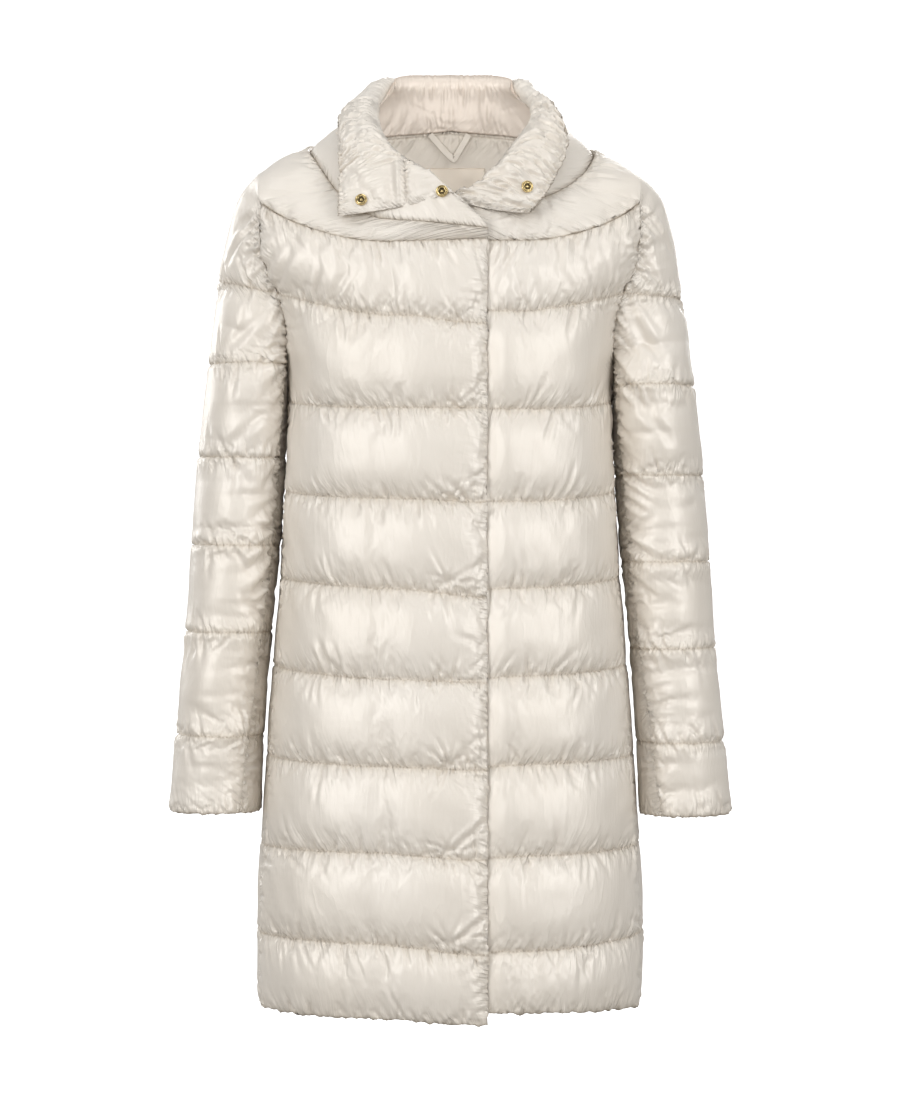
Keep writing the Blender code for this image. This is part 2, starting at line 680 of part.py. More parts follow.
def stitch_distance(sheet):
    """Distance of each point to the nearest stitched or cut edge of its sheet."""
    pairs = [tuple(edge) for edge in sheet.stitches] + [(a, b) for a, b, _ in sheet.boundary()]
    points = np.array(sheet.points)
    start = points[[a for a, _ in pairs]]
    along = points[[b for _, b in pairs]] - start
    length = np.sum(along ** 2, axis=1)
    result = []
    for point in points:
        part = np.clip(np.sum((point - start) * along, axis=1) / length, 0, 1)
        result.append(np.min(np.linalg.norm(start + along * part[:, None] - point, axis=1)))
    return np.array(result)


def swelling(distance, half_channel):
    """Round section of a padded channel, from 0 at a stitch line to 1."""
    return np.sqrt(1 - (1 - np.minimum(distance / half_channel, 1)) ** 2)


def body_fullness(sheet, point):
    """How much of the swelling a body point keeps, by what presses on it."""
    x, y, z = point
    angle = math.degrees(math.atan2(abs(x), -y if sheet.name != "back" else abs(y)))
    low_side = ease((SLEEVE_ZONE_BOTTOM - z) / SLEEVE_ZONE_FADE)
    side = PRESSED + (SIDE_FULLNESS - PRESSED) * low_side
    near_sleeve = ease((angle - PRESSED_FROM) / PRESSED_FADE)
    full = 1 + (side - 1) * near_sleeve * ease((SLEEVE_ZONE_TOP - z) / SLEEVE_ZONE_FADE)
    if sheet.name == "front_right":
        for seam_z in QUILT["right_mid"][1:-1]:
            apart = math.hypot(x + PINCH_X, z - seam_z)
            full *= 1 - PINCH_DEPTH * math.exp(-(apart / PINCH_RADIUS) ** 2)
    return full * under_lap(sheet, point)


def under_lap(sheet, point):
    """The left front is flat where the right one lies on it."""
    x, y, _ = point
    if not sheet.name.endswith("left") or y > 0:
        return 1.0
    return PRESSED + (1 - PRESSED) * ease((x - RIGHT_LAP - COVERED_PAST) / COVERED_FADE)


def fold_depth(point):
    """How deep the largest folds are at a point."""
    x, y, z = point
    total = 0.0
    for facing, from_x, from_z, to_x, to_z, width, depth in zip(*FOLDS.values()):
        if facing * y < 0:
            continue
        along = np.array((to_x - from_x, to_z - from_z))
        part = np.dot((x - from_x, z - from_z), along) / np.dot(along, along)
        part = min(max(part, 0.0), 1.0)
        apart = math.hypot(x - from_x - along[0] * part, z - from_z - along[1] * part)
        total += depth * math.exp(-(apart / width) ** 2)
    return total


def build_wall(sheet, outer, inner, colour, roughness=0.32, metallic=0.0):
    """A closed wall round the sheet, outer and inner metres along each point's direction."""
    points = pull_from_seams(sheet)
    count = len(points)
    directions = sheet.directions
    vertices = np.vstack((points + directions * outer[:, None], points - directions * inner[:, None]))
    faces = [list(face) for face in sheet.faces]
    faces += [[i + count for i in reversed(face)] for face in sheet.faces]
    faces += [[b, a, a + count, b + count] for a, b, _ in sheet.boundary()]
    return add_object(sheet.name, vertices, faces, colour, roughness, metallic)


def add_object(name, vertices, faces, colour, roughness, metallic):
    mesh = bpy.data.meshes.new(name)
    mesh.from_pydata([tuple(map(float, vertex)) for vertex in vertices], [], faces)
    mesh.shade_smooth()
    mesh.set_sharp_from_angle(angle=math.radians(SHARP_ANGLE))
    made = bpy.data.objects.new(name, mesh)
    bpy.context.scene.collection.objects.link(made)
    material = bpy.data.materials.new(name)
    material.use_nodes = True
    shader = material.node_tree.nodes["Principled BSDF"]
    shader.inputs["Base Color"].default_value = (*colour, 1)
    shader.inputs["Roughness"].default_value = roughness
    shader.inputs["Metallic"].default_value = metallic
    mesh.materials.append(material)
    return made


# ---- the pieces ----------------------------------------------------------------------------
def front_sheet(side):
    sheet = Sheet("front_right" if side < 0 else "front_left", "body")
    rows = [front_row(side, row) for row in quilt_rows()]
    sheet.add_grid(rows, side < 0, range(0, len(rows), ROWS))
    return sheet


def back_sheet():
    sheet = Sheet("back", "body")
    rows = [back_row(-1, row)[::-1] + back_row(1, row)[1:] for row in quilt_rows()]
    sheet.add_grid(rows, True, range(0, len(rows), ROWS))
    return sheet


def sleeve_sheet(side):
    """Upper sleeve cut in one with the yoke."""
    sheet = Sheet("sleeve_right" if side < 0 else "sleeve_left", "arm")
    sheet.add_grid(yoke_rows(side), side < 0)
    rows = sleeve_rows(side)
    stitched = [i for i, row in enumerate(rows) if row[-1]]
    sheet.add_grid([sleeve_row_points(side, row) for row in rows], side < 0, stitched)
    return sheet


def under_sleeve_sheet(side):
    sheet = Sheet("undersleeve_right" if side < 0 else "undersleeve_left", "arm")
    rows = under_sleeve_rows(side)
    stitched = [i for i, row in enumerate(rows) if row[1]]
    sheet.add_grid([points for points, _ in rows], side > 0, stitched)
    return sheet


def collar_sheet():
    sheet = Sheet("collar", "collar")
    columns = [collar_section(-1, angle) for angle in neck_angles(-1)]
    columns += [collar_section(1, angle) for angle in neck_angles(1)[::-1][1:]]
    sheet.add_grid([list(row) for row in zip(*columns)], False)
    return sheet


def build_shell():
    """All quilted pieces, with their shared seams. Returns the sheets by name."""
    sheets = [front_sheet(-1), front_sheet(1), back_sheet()]
    sheets += [sleeve_sheet(-1), sleeve_sheet(1), under_sleeve_sheet(-1), under_sleeve_sheet(1)]
    collar = collar_sheet()
    share_seam_directions(sheets + [collar])
    for sheet in sheets:
        crown = BODY_CROWN if sheet.limb == "body" else SLEEVE_CROWN
        swell = swelling(stitch_distance(sheet), HALF_CHANNEL) * crown
        if sheet.limb == "body":
            swell *= [body_fullness(sheet, point) for point in sheet.points]
        elif sheet.name.startswith("under"):
            swell *= PRESSED
        else:
            swell *= [under_lap(sheet, point) for point in sheet.points]
        swell = np.maximum(swell - [fold_depth(point) for point in sheet.points], 0)
        build_wall(sheet, WALL_OUT + swell, np.full(len(swell), WALL_IN), SHELL_COLOUR)
    padding = np.zeros(len(collar.points))
    for row, share in zip(collar_row_numbers(collar), COLLAR_PROFILE["padding"]):
        padding[row] = share
    swell = swelling(stitch_distance(collar), COLLAR_HALF_CHANNEL) * COLLAR_CROWN * padding
    swell = np.maximum(swell - [fold_depth(point) for point in collar.points], 0)
    build_wall(collar, np.full(len(swell), COLLAR_OUT), COLLAR_IN + swell, SHELL_COLOUR)
    add_collar_lining(collar, COLLAR_IN + swell)
    add_neck_facing([sheet for sheet in sheets if sheet.name.startswith("sleeve")])


def collar_row_numbers(collar):
    return np.arange(len(collar.points)).reshape(-1, 2 * YOKE_POINTS - 1)


def add_collar_lining(collar, depth):
    """Lining laid on the neck side of the stand, round the back of the neck."""
    points = np.array(collar.points) - collar.directions * (depth + LAID_GAP + FACING_THICKNESS / 2)[:, None]
    angles = [*neck_angles(-1), *neck_angles(1)[::-1][1:]]
    columns = [j for j, angle in enumerate(angles) if angle >= LINING_FROM]
    numbers = collar_row_numbers(collar)[:LINING_ROWS, columns]
    sheet = Sheet("collar_lining", "lining")
    sheet.lay(collar, points, numbers.flat)
    build_thin(sheet, FACING_THICKNESS, LINING_COLOUR)


def add_neck_facing(yokes):
    """Facing laid on the inside of both halves of the yoke, from the shoulder to the centre back."""
    depth = WALL_IN + LAID_GAP + FACING_THICKNESS / 2
    sheet = Sheet("neck_facing", "lining")
    for yoke in yokes:
        points = np.array(yoke.points) - yoke.directions * depth
        numbers = np.arange((ROWS + 1) * YOKE_POINTS).reshape(-1, YOKE_POINTS)
        top, second, above, bottom = (numbers[i] for i in (0, 1, -2, -1))
        points[top] += (points[second] - points[top]) * FACING_INSET
        points[bottom] += (points[above] - points[bottom]) * FACING_INSET
        sheet.lay(yoke, points, numbers[:, FRONT_COLUMNS + SHOULDER_COLUMNS:].flat)
    build_thin(sheet, FACING_THICKNESS, FACING_COLOUR)


def build_thin(sheet, thickness, colour):
    """A wall of even thickness, half on each side of the sheet."""
    share_seam_directions([sheet])
    half = np.full(len(sheet.points), thickness / 2)
    build_wall(sheet, half, half, colour)


def facing_tree():
    return BVHTree.FromObject(bpy.data.objects["neck_facing"], bpy.context.evaluated_depsgraph_get())


def seen_on_facing(tree, x, z):
    """Depth of the facing's surface behind a point that is seen from the front."""
    return tree.ray_cast(Vector((x, 0, min(z, FACING_TOP))), Vector((0, 1, 0)))[0].y


def add_label():
    tree = facing_tree()
    across = np.linspace(LABEL_LEFT, LABEL_RIGHT, LABEL_COLUMNS + 1)
    up = np.linspace(LABEL_TOP, LABEL_BOTTOM, LABEL_ROWS + 1)
    rows = [[np.array((x, seen_on_facing(tree, x, z) - LABEL_GAP - LABEL_HALF, z)) for x in across]
            for z in up]
    sheet = Sheet("label_patch", "lining")
    sheet.add_grid(rows, False)
    build_thin(sheet, 2 * LABEL_HALF, PATCH_COLOUR)


def add_loop():
    """A narrow strip from the neck seam down to the loop's tip and up again."""
    tree = facing_tree()
    middle = np.array([LOOP_LINE["x"], LOOP_LINE["z"]]).T
    rows = []
    for i, (x, z) in enumerate(middle):
        before = unit(middle[i] - middle[max(i - 1, 0)])
        after = unit(middle[min(i + 1, len(middle) - 1)] - middle[i])
        along = unit(before + after)
        side = np.array((-along[1], along[0])) * LOOP_WIDTH / 2
        ends = [(x + side[0], z + side[1]), (x - side[0], z - side[1])]
        rows.append([np.array((ex, seen_on_facing(tree, ex, ez) - LOOP_STAND_OFF, ez)) for ex, ez in ends])
    sheet = Sheet("hanger_loop", "lining")
    sheet.add_grid(rows, True)
    build_thin(sheet, LOOP_THICKNESS, FACING_COLOUR)


def add_snap(name, x, z):
    """A domed snap button that sits on the collar, seen from the front at x and z."""
    tree = BVHTree.FromObject(bpy.data.objects["collar"], bpy.context.evaluated_depsgraph_get())
    seat, normal, _, _ = tree.ray_cast(Vector((x, -1, z)), Vector((0, 1, 0)))
    profile = list(zip(SNAP_PROFILE["radius"], SNAP_PROFILE["height"]))
    turns = [2 * math.pi * i / SNAP_SEGMENTS for i in range(SNAP_SEGMENTS)]
    vertices = [(SNAP_RADIUS * r * math.cos(t), SNAP_RADIUS * r * math.sin(t), SNAP_HEIGHT * h)
                for r, h in profile for t in turns]
    faces = [list(range(SNAP_SEGMENTS)), list(range(SNAP_SEGMENTS * len(profile)))[-SNAP_SEGMENTS:][::-1]]
    for ring in range(len(profile) - 1):
        for i in range(SNAP_SEGMENTS):
            upper, lower = ring * SNAP_SEGMENTS, (ring + 1) * SNAP_SEGMENTS
            following = (i + 1) % SNAP_SEGMENTS
            faces.append([upper + i, lower + i, lower + following, upper + following])
    made = add_object(name, vertices, faces, GOLD_COLOUR, 0.25, 1.0)
    turn = normal.to_track_quat("Z", "Y").to_matrix().to_4x4()
    made.matrix_world = Matrix.Translation(seat + normal * SNAP_SEAT) @ turn


def main():
    for old in list(bpy.data.objects):
        bpy.data.objects.remove(old)
    build_shell()
    add_label()
    add_loop()
    for name, x, z in zip(SNAP_NAMES, SNAPS["x"], SNAPS["z"]):
        add_snap(name, x, z)


main()
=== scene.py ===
import json
import math

import bpy
import numpy as np
from mathutils import Matrix, Vector
from mathutils.bvhtree import BVHTree
from mathutils.kdtree import KDTree

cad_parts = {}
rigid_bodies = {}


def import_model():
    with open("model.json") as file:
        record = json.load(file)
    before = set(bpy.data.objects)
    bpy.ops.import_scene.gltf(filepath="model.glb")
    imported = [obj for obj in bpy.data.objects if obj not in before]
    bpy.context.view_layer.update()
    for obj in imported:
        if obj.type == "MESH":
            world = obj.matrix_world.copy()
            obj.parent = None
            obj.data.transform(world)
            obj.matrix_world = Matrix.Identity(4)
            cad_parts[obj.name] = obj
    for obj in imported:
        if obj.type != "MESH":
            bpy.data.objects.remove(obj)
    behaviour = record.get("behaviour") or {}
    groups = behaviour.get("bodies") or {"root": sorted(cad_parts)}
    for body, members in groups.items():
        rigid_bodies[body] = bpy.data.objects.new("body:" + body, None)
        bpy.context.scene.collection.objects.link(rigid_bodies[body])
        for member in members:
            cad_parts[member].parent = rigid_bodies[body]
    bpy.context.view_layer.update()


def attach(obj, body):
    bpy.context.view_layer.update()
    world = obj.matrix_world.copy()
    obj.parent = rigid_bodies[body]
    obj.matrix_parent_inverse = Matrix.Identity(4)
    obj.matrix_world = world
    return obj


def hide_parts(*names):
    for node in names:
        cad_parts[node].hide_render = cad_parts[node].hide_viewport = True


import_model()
print("frame loaded")


def readTable(text):
    lines = [line.split() for line in text.strip().splitlines()]
    values = np.array([[float(cell) for cell in line] for line in lines[1:]])
    return {name: values[:, place] for place, name in enumerate(lines[0])}


# torso at the stitch level: half width, and depths before and behind the side line
torso = readTable("""
    z       halfWidth  front   back
    -0.880  0.1940     0.1485  0.1425
    -0.850  0.1965     0.1500  0.1440
    -0.800  0.1975     0.1500  0.1430
    -0.750  0.1965     0.1490  0.1410
    -0.700  0.1935     0.1470  0.1380
    -0.650  0.1900     0.1440  0.1340
    -0.600  0.1870     0.1410  0.1300
    -0.550  0.1835     0.1380  0.1250
    -0.500  0.1795     0.1340  0.1190
    -0.450  0.1755     0.1300  0.1130
    -0.400  0.1720     0.1270  0.1090
    -0.350  0.1690     0.1250  0.1070
    -0.300  0.1660     0.1240  0.1080
    -0.245  0.1640     0.1230  0.1100
    -0.218  0.1680     0.1220  0.1110
    -0.175  0.1762     0.1195  0.1125
    -0.145  0.1860     0.1170  0.1125
    -0.120  0.2040     0.1135  0.1120
    -0.090  0.2150     0.1090  0.1100
    -0.060  0.2170     0.1060  0.1070
    -0.030  0.2150     0.1030  0.1020
""")
sideSeam = readTable("""
    z       angle
    -0.880  73.5
    -0.600  73.5
    -0.450  75.0
    -0.300  79.0
    -0.245  84.0
    -0.218  90.0
""")
armholeFront = readTable("""
    z       x       y
    -0.218  0.1680   0.0000
    -0.191  0.1675  -0.0450
    -0.164  0.1690  -0.0530
    -0.137  0.1765  -0.0600
    -0.114  0.1880  -0.0630
    -0.091  0.1930  -0.0620
    -0.068  0.1945  -0.0590
    -0.045  0.1930  -0.0550
""")
armholeBack = readTable("""
    z       x       y
    -0.218  0.1680   0.0000
    -0.191  0.1675   0.0450
    -0.164  0.1690   0.0540
    -0.137  0.1760   0.0620
    -0.114  0.1860   0.0660
    -0.091  0.1910   0.0660
    -0.068  0.1925   0.0630
    -0.045  0.1910   0.0590
""")
# heights of the quilting seams at each front's free edge and middle, at the side and centre back
quilt = readTable("""
    seam  rightEdge  rightMid  leftEdge  leftMid  outer    back     curl
    1     -0.0870    -0.0890   -0.0900   -0.0880  -0.0450  -0.0620  2.5
    2     -0.1730    -0.1640   -0.1580   -0.1600  -0.1370  -0.1500  1.6
    3     -0.2580    -0.2570   -0.2600   -0.2580  -0.2450  -0.2450  1.6
    4     -0.3520    -0.3480   -0.3520   -0.3510  -0.3390  -0.3400  1.6
    5     -0.4470    -0.4380   -0.4420   -0.4380  -0.4280  -0.4300  1.4
    6     -0.5320    -0.5290   -0.5300   -0.5260  -0.5180  -0.5190  1.4
    7     -0.6190    -0.6160   -0.6190   -0.6140  -0.6100  -0.6090  1.4
    8     -0.7080    -0.7020   -0.7080   -0.7050  -0.7010  -0.7000  1.4
    9     -0.8020    -0.7920   -0.8010   -0.7990  -0.7900  -0.7900  1.4
    10    -0.8720    -0.8670   -0.8600   -0.8620  -0.8670  -0.8630  1.4
""")
# the sleeve cap: height on the armhole and the point on the sleeve's outer line
cap = readTable("""
    armholeZ  outerX  outerZ   angle
    -0.045    0.1905  -0.0175  84
    -0.068    0.2100  -0.0355  82
    -0.091    0.2200  -0.0620  80
    -0.114    0.2275  -0.0920  79
    -0.137    0.2350  -0.1310  80
""")
# the sleeve below the cap, with the angles of its two seams from the outer line
sleeve = readTable("""
    z       outer   inner   halfDepth  middle   frontSeam  backSeam
    -0.675  0.2850  0.1985  0.0500     -0.0200  126        130
    -0.590  0.2760  0.1950  0.0540     -0.0160  136        136
    -0.485  0.2665  0.1870  0.0570     -0.0100  147        142
    -0.395  0.2610  0.1780  0.0590     -0.0060  150        145
    -0.305  0.2545  0.1722  0.0605     -0.0020  151        146
    -0.220  0.2450  0.1700  0.0610      0.0000  143        142
    -0.191  0.2420  0.1700  0.0610      0.0000  131        131
    -0.164  0.2390  0.1700  0.0610      0.0000  119        118
    -0.131  0.2350  0.1700  0.0610      0.0000   80         80
""")
sleeveQuilt = readTable("""
    right    left
    -0.1225  -0.1400
    -0.2090  -0.2310
    -0.3045  -0.3230
    -0.3950  -0.4120
    -0.4840  -0.5010
    -0.5900  -0.5970
    -0.6690  -0.6720
""")
# the roll collar by the angle of its neck seam: seam, line where the band turns over, free edge
collarRight = readTable("""
    angle  radius  neckZ    foldX    foldY    foldZ    edgeX   edgeY    edgeZ
    -19.0  0.1180  -0.0765  -0.0010  -0.1130  -0.0410  0.1130  -0.0990  -0.0625
     10.0  0.1140  -0.0705   0.0200  -0.1020  -0.0190  0.1125  -0.0930  -0.0480
     35.0  0.1220  -0.0650   0.0480  -0.0880   0.0000  0.1120  -0.0810  -0.0280
     62.0  0.1300  -0.0340   0.0630  -0.0620   0.0180  0.1130  -0.0600   0.0020
     77.5  0.1390  -0.0040   0.0710  -0.0300   0.0390  0.1150  -0.0360   0.0270
     90.0  0.1450   0.0130   0.0730   0.0000   0.0570  0.1150  -0.0080   0.0440
    102.0  0.1410   0.0220   0.0720   0.0300   0.0770  0.1130   0.0220   0.0540
    116.0  0.1280   0.0310   0.0650   0.0560   0.0940  0.0970   0.0640   0.0560
    143.5  0.1010   0.0420   0.0370   0.0720   0.0970  0.0590   0.0920   0.0360
    180.0  0.0870   0.0480   0.0000   0.0780   0.0980  0.0000   0.1060   0.0290
""")
collarLeft = readTable("""
    angle  radius  neckZ    foldX    foldY    foldZ    edgeX   edgeY    edgeZ
    -11.0  0.1060  -0.0560  -0.0010  -0.1070  -0.0430  0.0805  -0.1130  -0.0612
     26.5  0.1120  -0.0525   0.0310  -0.1010  -0.0270  0.0960  -0.1000  -0.0420
     50.0  0.1250  -0.0415   0.0500  -0.0780  -0.0040  0.1075  -0.0810  -0.0205
     64.5  0.1340  -0.0280   0.0655  -0.0550   0.0190  0.1175  -0.0630   0.0030
     78.0  0.1430  -0.0110   0.0800  -0.0200   0.0420  0.1210  -0.0450   0.0200
     90.0  0.1490   0.0090   0.0850   0.0050   0.0560  0.1160  -0.0250   0.0430
    102.0  0.1440   0.0190   0.0810   0.0300   0.0760  0.1040   0.0100   0.0660
    116.0  0.1280   0.0290   0.0690   0.0560   0.0930  0.0950   0.0600   0.0590
    143.5  0.1010   0.0420   0.0370   0.0720   0.0970  0.0590   0.0920   0.0360
    180.0  0.0870   0.0480   0.0000   0.0780   0.0980  0.0000   0.1060   0.0290
""")
# its section: the stand, then the fall, with the padding and how freely it swells
collarProfile = readTable("""
    fall  along  padding  freedom
    0     0.00   0.00     0.05
    0     0.30   0.00     0.10
    0     0.62   0.10     0.30
    0     0.88   0.40     0.60
    0     1.00   0.90     1.00
    1     0.16   1.00     1.00
    1     0.42   1.00     1.00
    1     0.72   1.00     1.00
    1     1.00   1.00     1.00
""")

cloth = {
    "down": 0.0026,             # metres between the outside's mesh points
    "across": 0.0015,
    "backDown": 0.0028,
    "backAcross": 0.0022,
    "insideEvery": 3,           # the inside has every third point
    "acrossEvery": 6,           # and the simulation every second one of a row
    "wallIn": 0.0020,
    "outGap": 0.0004,
    "roundness": 2.5,
    "rightLap": 0.038,
    "leftLap": 0.020,
    "lapRise": 0.0058,
    "lapFlat": 0.020,
    "lapFade": 0.075,
    "pitTop": -0.191,
    "pitEase": 0.06,
    "pitLap": 0.0018,
    "pitDrop": 0.0015,
    "frontSpan": 0.235,         # mean lengths that the mesh steps are worked out from
    "backSpan": 0.265,
    "underSpan": 0.085,
    "sleeveRows": 4,            # knots to a channel of the sleeve
    "neckFront": 62.0,
    "neckBack": 118.0,
}
# by kind of piece: the tallest pillow, the deepest fold, how full the padding is, the part of the folds
# that stays in a pillow's middle, and how far the stitched lines and the free edges wander
kinds = {
    "front": {"tallest": 0.0150, "deepest": -0.0030, "fill": 0.7, "folds": 0.14, "wander": (0.0005, 0.0008)},
    "back": {"tallest": 0.0150, "deepest": -0.0030, "fill": 0.7, "folds": 0.14, "wander": (0.0005, 0.0008)},
    "sleeve": {"tallest": 0.0082, "deepest": -0.0030, "fill": 0.6, "folds": 0.05, "wander": (0.0005, 0.0007)},
    "undersleeve": {"tallest": 0.0055, "deepest": -0.0030, "fill": 0.3, "folds": 0.14,
                    "wander": (0.0004, 0.0006)},
    "collar": {"tallest": 0.0095, "deepest": -0.0042, "fill": 0.6, "folds": 0.40, "wander": (0.0, 0.0008)},
}
# seeds for the wander of each piece's seams, and for its puckers
wanderSeeds = {"front_right": 60, "front_left": 62, "back": 64, "sleeve_right": 66, "sleeve_left": 68,
               "undersleeve_right": 69, "undersleeve_left": 71, "collar": 73}
puckerSeeds = {"front_right": 11, "front_left": 12, "back": 21, "sleeve_right": 31, "sleeve_left": 32,
               "undersleeve_right": 41, "undersleeve_left": 42, "collar": 51}
otherSeeds = {"collarUnder": 74, "lining": 81, "facing": 82, "patch": 83, "inflating": 100, "calming": 200}


def kindOf(name):
    return kinds[name.split("_")[0]]


def seeded(seed):
    return np.random.default_rng(seed)


def smoothAt(source, column, at):
    keys, values = source[next(iter(source))], source[column]
    at = np.clip(at, keys[0], keys[-1])
    steps = np.diff(values) / np.diff(keys)
    slopes = np.concatenate((steps[:1], np.zeros(len(keys) - 2), steps[-1:]))
    same = steps[:-1] * steps[1:] > 0
    total = np.where(same, steps[:-1] + steps[1:], 1.0)
    slopes[1:-1] = np.where(same, 2 * steps[:-1] * steps[1:] / total, 0.0)
    place = np.clip(np.searchsorted(keys, at, side="right") - 1, 0, len(keys) - 2)
    width = keys[place + 1] - keys[place]
    t = (at - keys[place]) / width
    start, end = values[place], values[place + 1]
    bends = width * (slopes[place] * (t - 2 * t**2 + t**3) + slopes[place + 1] * (t**3 - t**2))
    return start + (end - start) * (3 * t**2 - 2 * t**3) + bends


def ease(value):
    value = np.clip(value, 0.0, 1.0)
    return value * value * (3 - 2 * value)


def unit(vectors):
    return vectors / np.maximum(np.linalg.norm(vectors, axis=-1, keepdims=True), 1e-12)


def xyz(points):
    return points[..., 0], points[..., 1], points[..., 2]


def hand(side):
    return "right" if side < 0 else "left"


def runningSum(steps):
    return np.concatenate(([0], np.cumsum(steps)))


def lengthAlong(points):
    return runningSum(np.linalg.norm(np.diff(points, axis=0), axis=1))


def torsoPoint(angle, z):
    angle, z = np.broadcast_arrays(np.radians(angle), z)
    sine, cosine = np.sin(angle), np.cos(angle)
    depth = np.where(cosine > 0, smoothAt(torso, "front", z), smoothAt(torso, "back", z))
    width = smoothAt(torso, "halfWidth", z)
    power = cloth["roundness"]
    radius = ((abs(sine) / width) ** power + (abs(cosine) / depth) ** power) ** (-1 / power)
    return np.stack((radius * sine, -radius * cosine, z), axis=-1)


def armholePoint(armhole, z):
    return np.array((smoothAt(armhole, "x", z), smoothAt(armhole, "y", z), z))


def bodyEdge(armhole, z):
    if z >= armhole["z"][0]:
        return armholePoint(armhole, z)
    return torsoPoint(smoothAt(sideSeam, "angle", z), z)


def bodyRow(across, startAngle, heights, curl, armhole):
    innerZ, middleZ, outerZ = heights
    upper = innerZ + (middleZ - innerZ) * ease(across / 0.5)
    lower = middleZ + (outerZ - middleZ) * np.clip((across - 0.5) / 0.5, 0, 1) ** curl
    edge = bodyEdge(armhole, outerZ)
    edgeAngle = math.degrees(math.atan2(edge[0], -edge[1]))
    points = torsoPoint(startAngle + (edgeAngle - startAngle) * across, np.where(across < 0.5, upper, lower))
    return points + (edge - torsoPoint(edgeAngle, outerZ)) * across[:, None] ** 4


def placed(points, side):
    points = np.array(points)
    if side < 0:
        fade = (cloth["lapFade"] - points[..., 0]) / (cloth["lapFade"] - cloth["lapFlat"])
        points[..., 1] -= np.where(points[..., 1] < 0, cloth["lapRise"] * ease(fade), 0)
    points[..., 0] *= side
    return points


def quiltAt(column, seam):
    return float(np.interp(seam, quilt["seam"], quilt[column]))


def frontRow(side, across, seam):
    heights = [quiltAt(column, seam) for column in (hand(side) + "Edge", hand(side) + "Mid", "outer")]
    start = -math.degrees(math.atan2(cloth[hand(side) + "Lap"], smoothAt(torso, "front", heights[0])))
    return placed(bodyRow(across, start, heights, quiltAt("curl", seam), armholeFront), side)


def backRow(side, across, seam):
    middle = quiltAt("back", seam)
    heights = (middle, middle, quiltAt("outer", seam))
    return placed(bodyRow(across, 180.0, heights, quiltAt("curl", seam), armholeBack), side)


def evenSteps(lengths, spacing, every=cloth["insideEvery"]):
    # how many mesh steps each stretch gets, a multiple of the inside's
    return [max(every, every * round(length / spacing / every)) for length in lengths]


def spread(knots, steps):
    # evenly spaced values between the knots
    parts = [np.linspace(a, b, n + 1)[:-1] for a, b, n in zip(knots, knots[1:], steps)]
    return np.concatenate(parts + [knots[-1:]])


def acrossSteps(lengths, spacing):
    return evenSteps(lengths, spacing, cloth["acrossEvery"])


def channelSeams(spacing):
    heights = -np.diff((quilt["leftMid"] + quilt["outer"]) / 2)
    steps = evenSteps(heights, spacing)
    return spread(quilt["seam"], steps), runningSum(steps)


def sleeveKnots(side):
    # the sleeve's rows by number: edge height, outer point and the angles of the seams
    seams = sleeveQuilt[hand(side)]
    rows = []
    for i in range(len(cap["armholeZ"])):
        outerZ = seams[0] if i == len(cap["armholeZ"]) - 1 else cap["outerZ"][i]
        rows.append((cap["armholeZ"][i], cap["outerX"][i], outerZ, cap["angle"][i], cap["angle"][i]))
    edges = [armholeFront["z"][2], cloth["pitTop"], (cloth["pitTop"] + seams[1]) / 2, seams[1]]
    every = cloth["sleeveRows"]
    levels = [(edge, seams[0] + (seams[1] - seams[0]) * (k + 1) / every) for k, edge in enumerate(edges)]
    for upper, lower in zip(seams[1:], seams[2:]):
        levels += [(z, z) for z in np.linspace(upper, lower, every + 1)[1:]]
    for edge, outerZ in levels:
        rows.append((edge, smoothAt(sleeve, "outer", outerZ), outerZ,
                     smoothAt(sleeve, "frontSeam", edge), smoothAt(sleeve, "backSeam", edge)))
    columns = np.array(rows).T
    names = ("edge", "outerX", "outerZ", "frontAngle", "backAngle")
    return {"row": np.arange(len(rows), dtype=float), **dict(zip(names, columns))}


def ringSeam(z, which):
    outer, inner = smoothAt(sleeve, "outer", z), smoothAt(sleeve, "inner", z)
    angle = math.radians(smoothAt(sleeve, which + "Seam", z))
    reach = (outer - inner) / 2
    turn = -1 if which == "front" else 1
    y = smoothAt(sleeve, "middle", z) + turn * smoothAt(sleeve, "halfDepth", z) * math.sin(angle)
    return np.array((inner + reach + reach * math.cos(angle), y, z))


def pitShare(z, secondSeam):
    return max(z - secondSeam, 0) / (cloth["pitTop"] - secondSeam)


def sleeveSeam(z, which, seams):
    armhole = armholeFront if which == "front" else armholeBack
    pitTop = cloth["pitTop"]
    if z >= pitTop:
        return armholePoint(armhole, z)
    if z > seams[2]:
        top, bottom = armholePoint(armhole, pitTop), ringSeam(seams[2], which)
        straight = top + (bottom - top) * (pitTop - z) / (pitTop - seams[2])
        return straight + np.array((cloth["pitLap"], 0, 0)) * pitShare(z, seams[1])
    return ringSeam(z, which)


def arcToEdge(outer, edge, middleY, angle, part):
    full = math.radians(angle)
    turn = full * part
    reach = (outer[0] - edge[0]) / (1 - math.cos(full))
    depth = (edge[1] - middleY) / math.sin(full)
    drop = (1 - np.cos(turn)) / (1 - math.cos(full))
    x = outer[0] - reach * (1 - np.cos(turn))
    return np.stack((x, middleY + depth * np.sin(turn), outer[2] + (edge[2] - outer[2]) * drop), axis=-1)


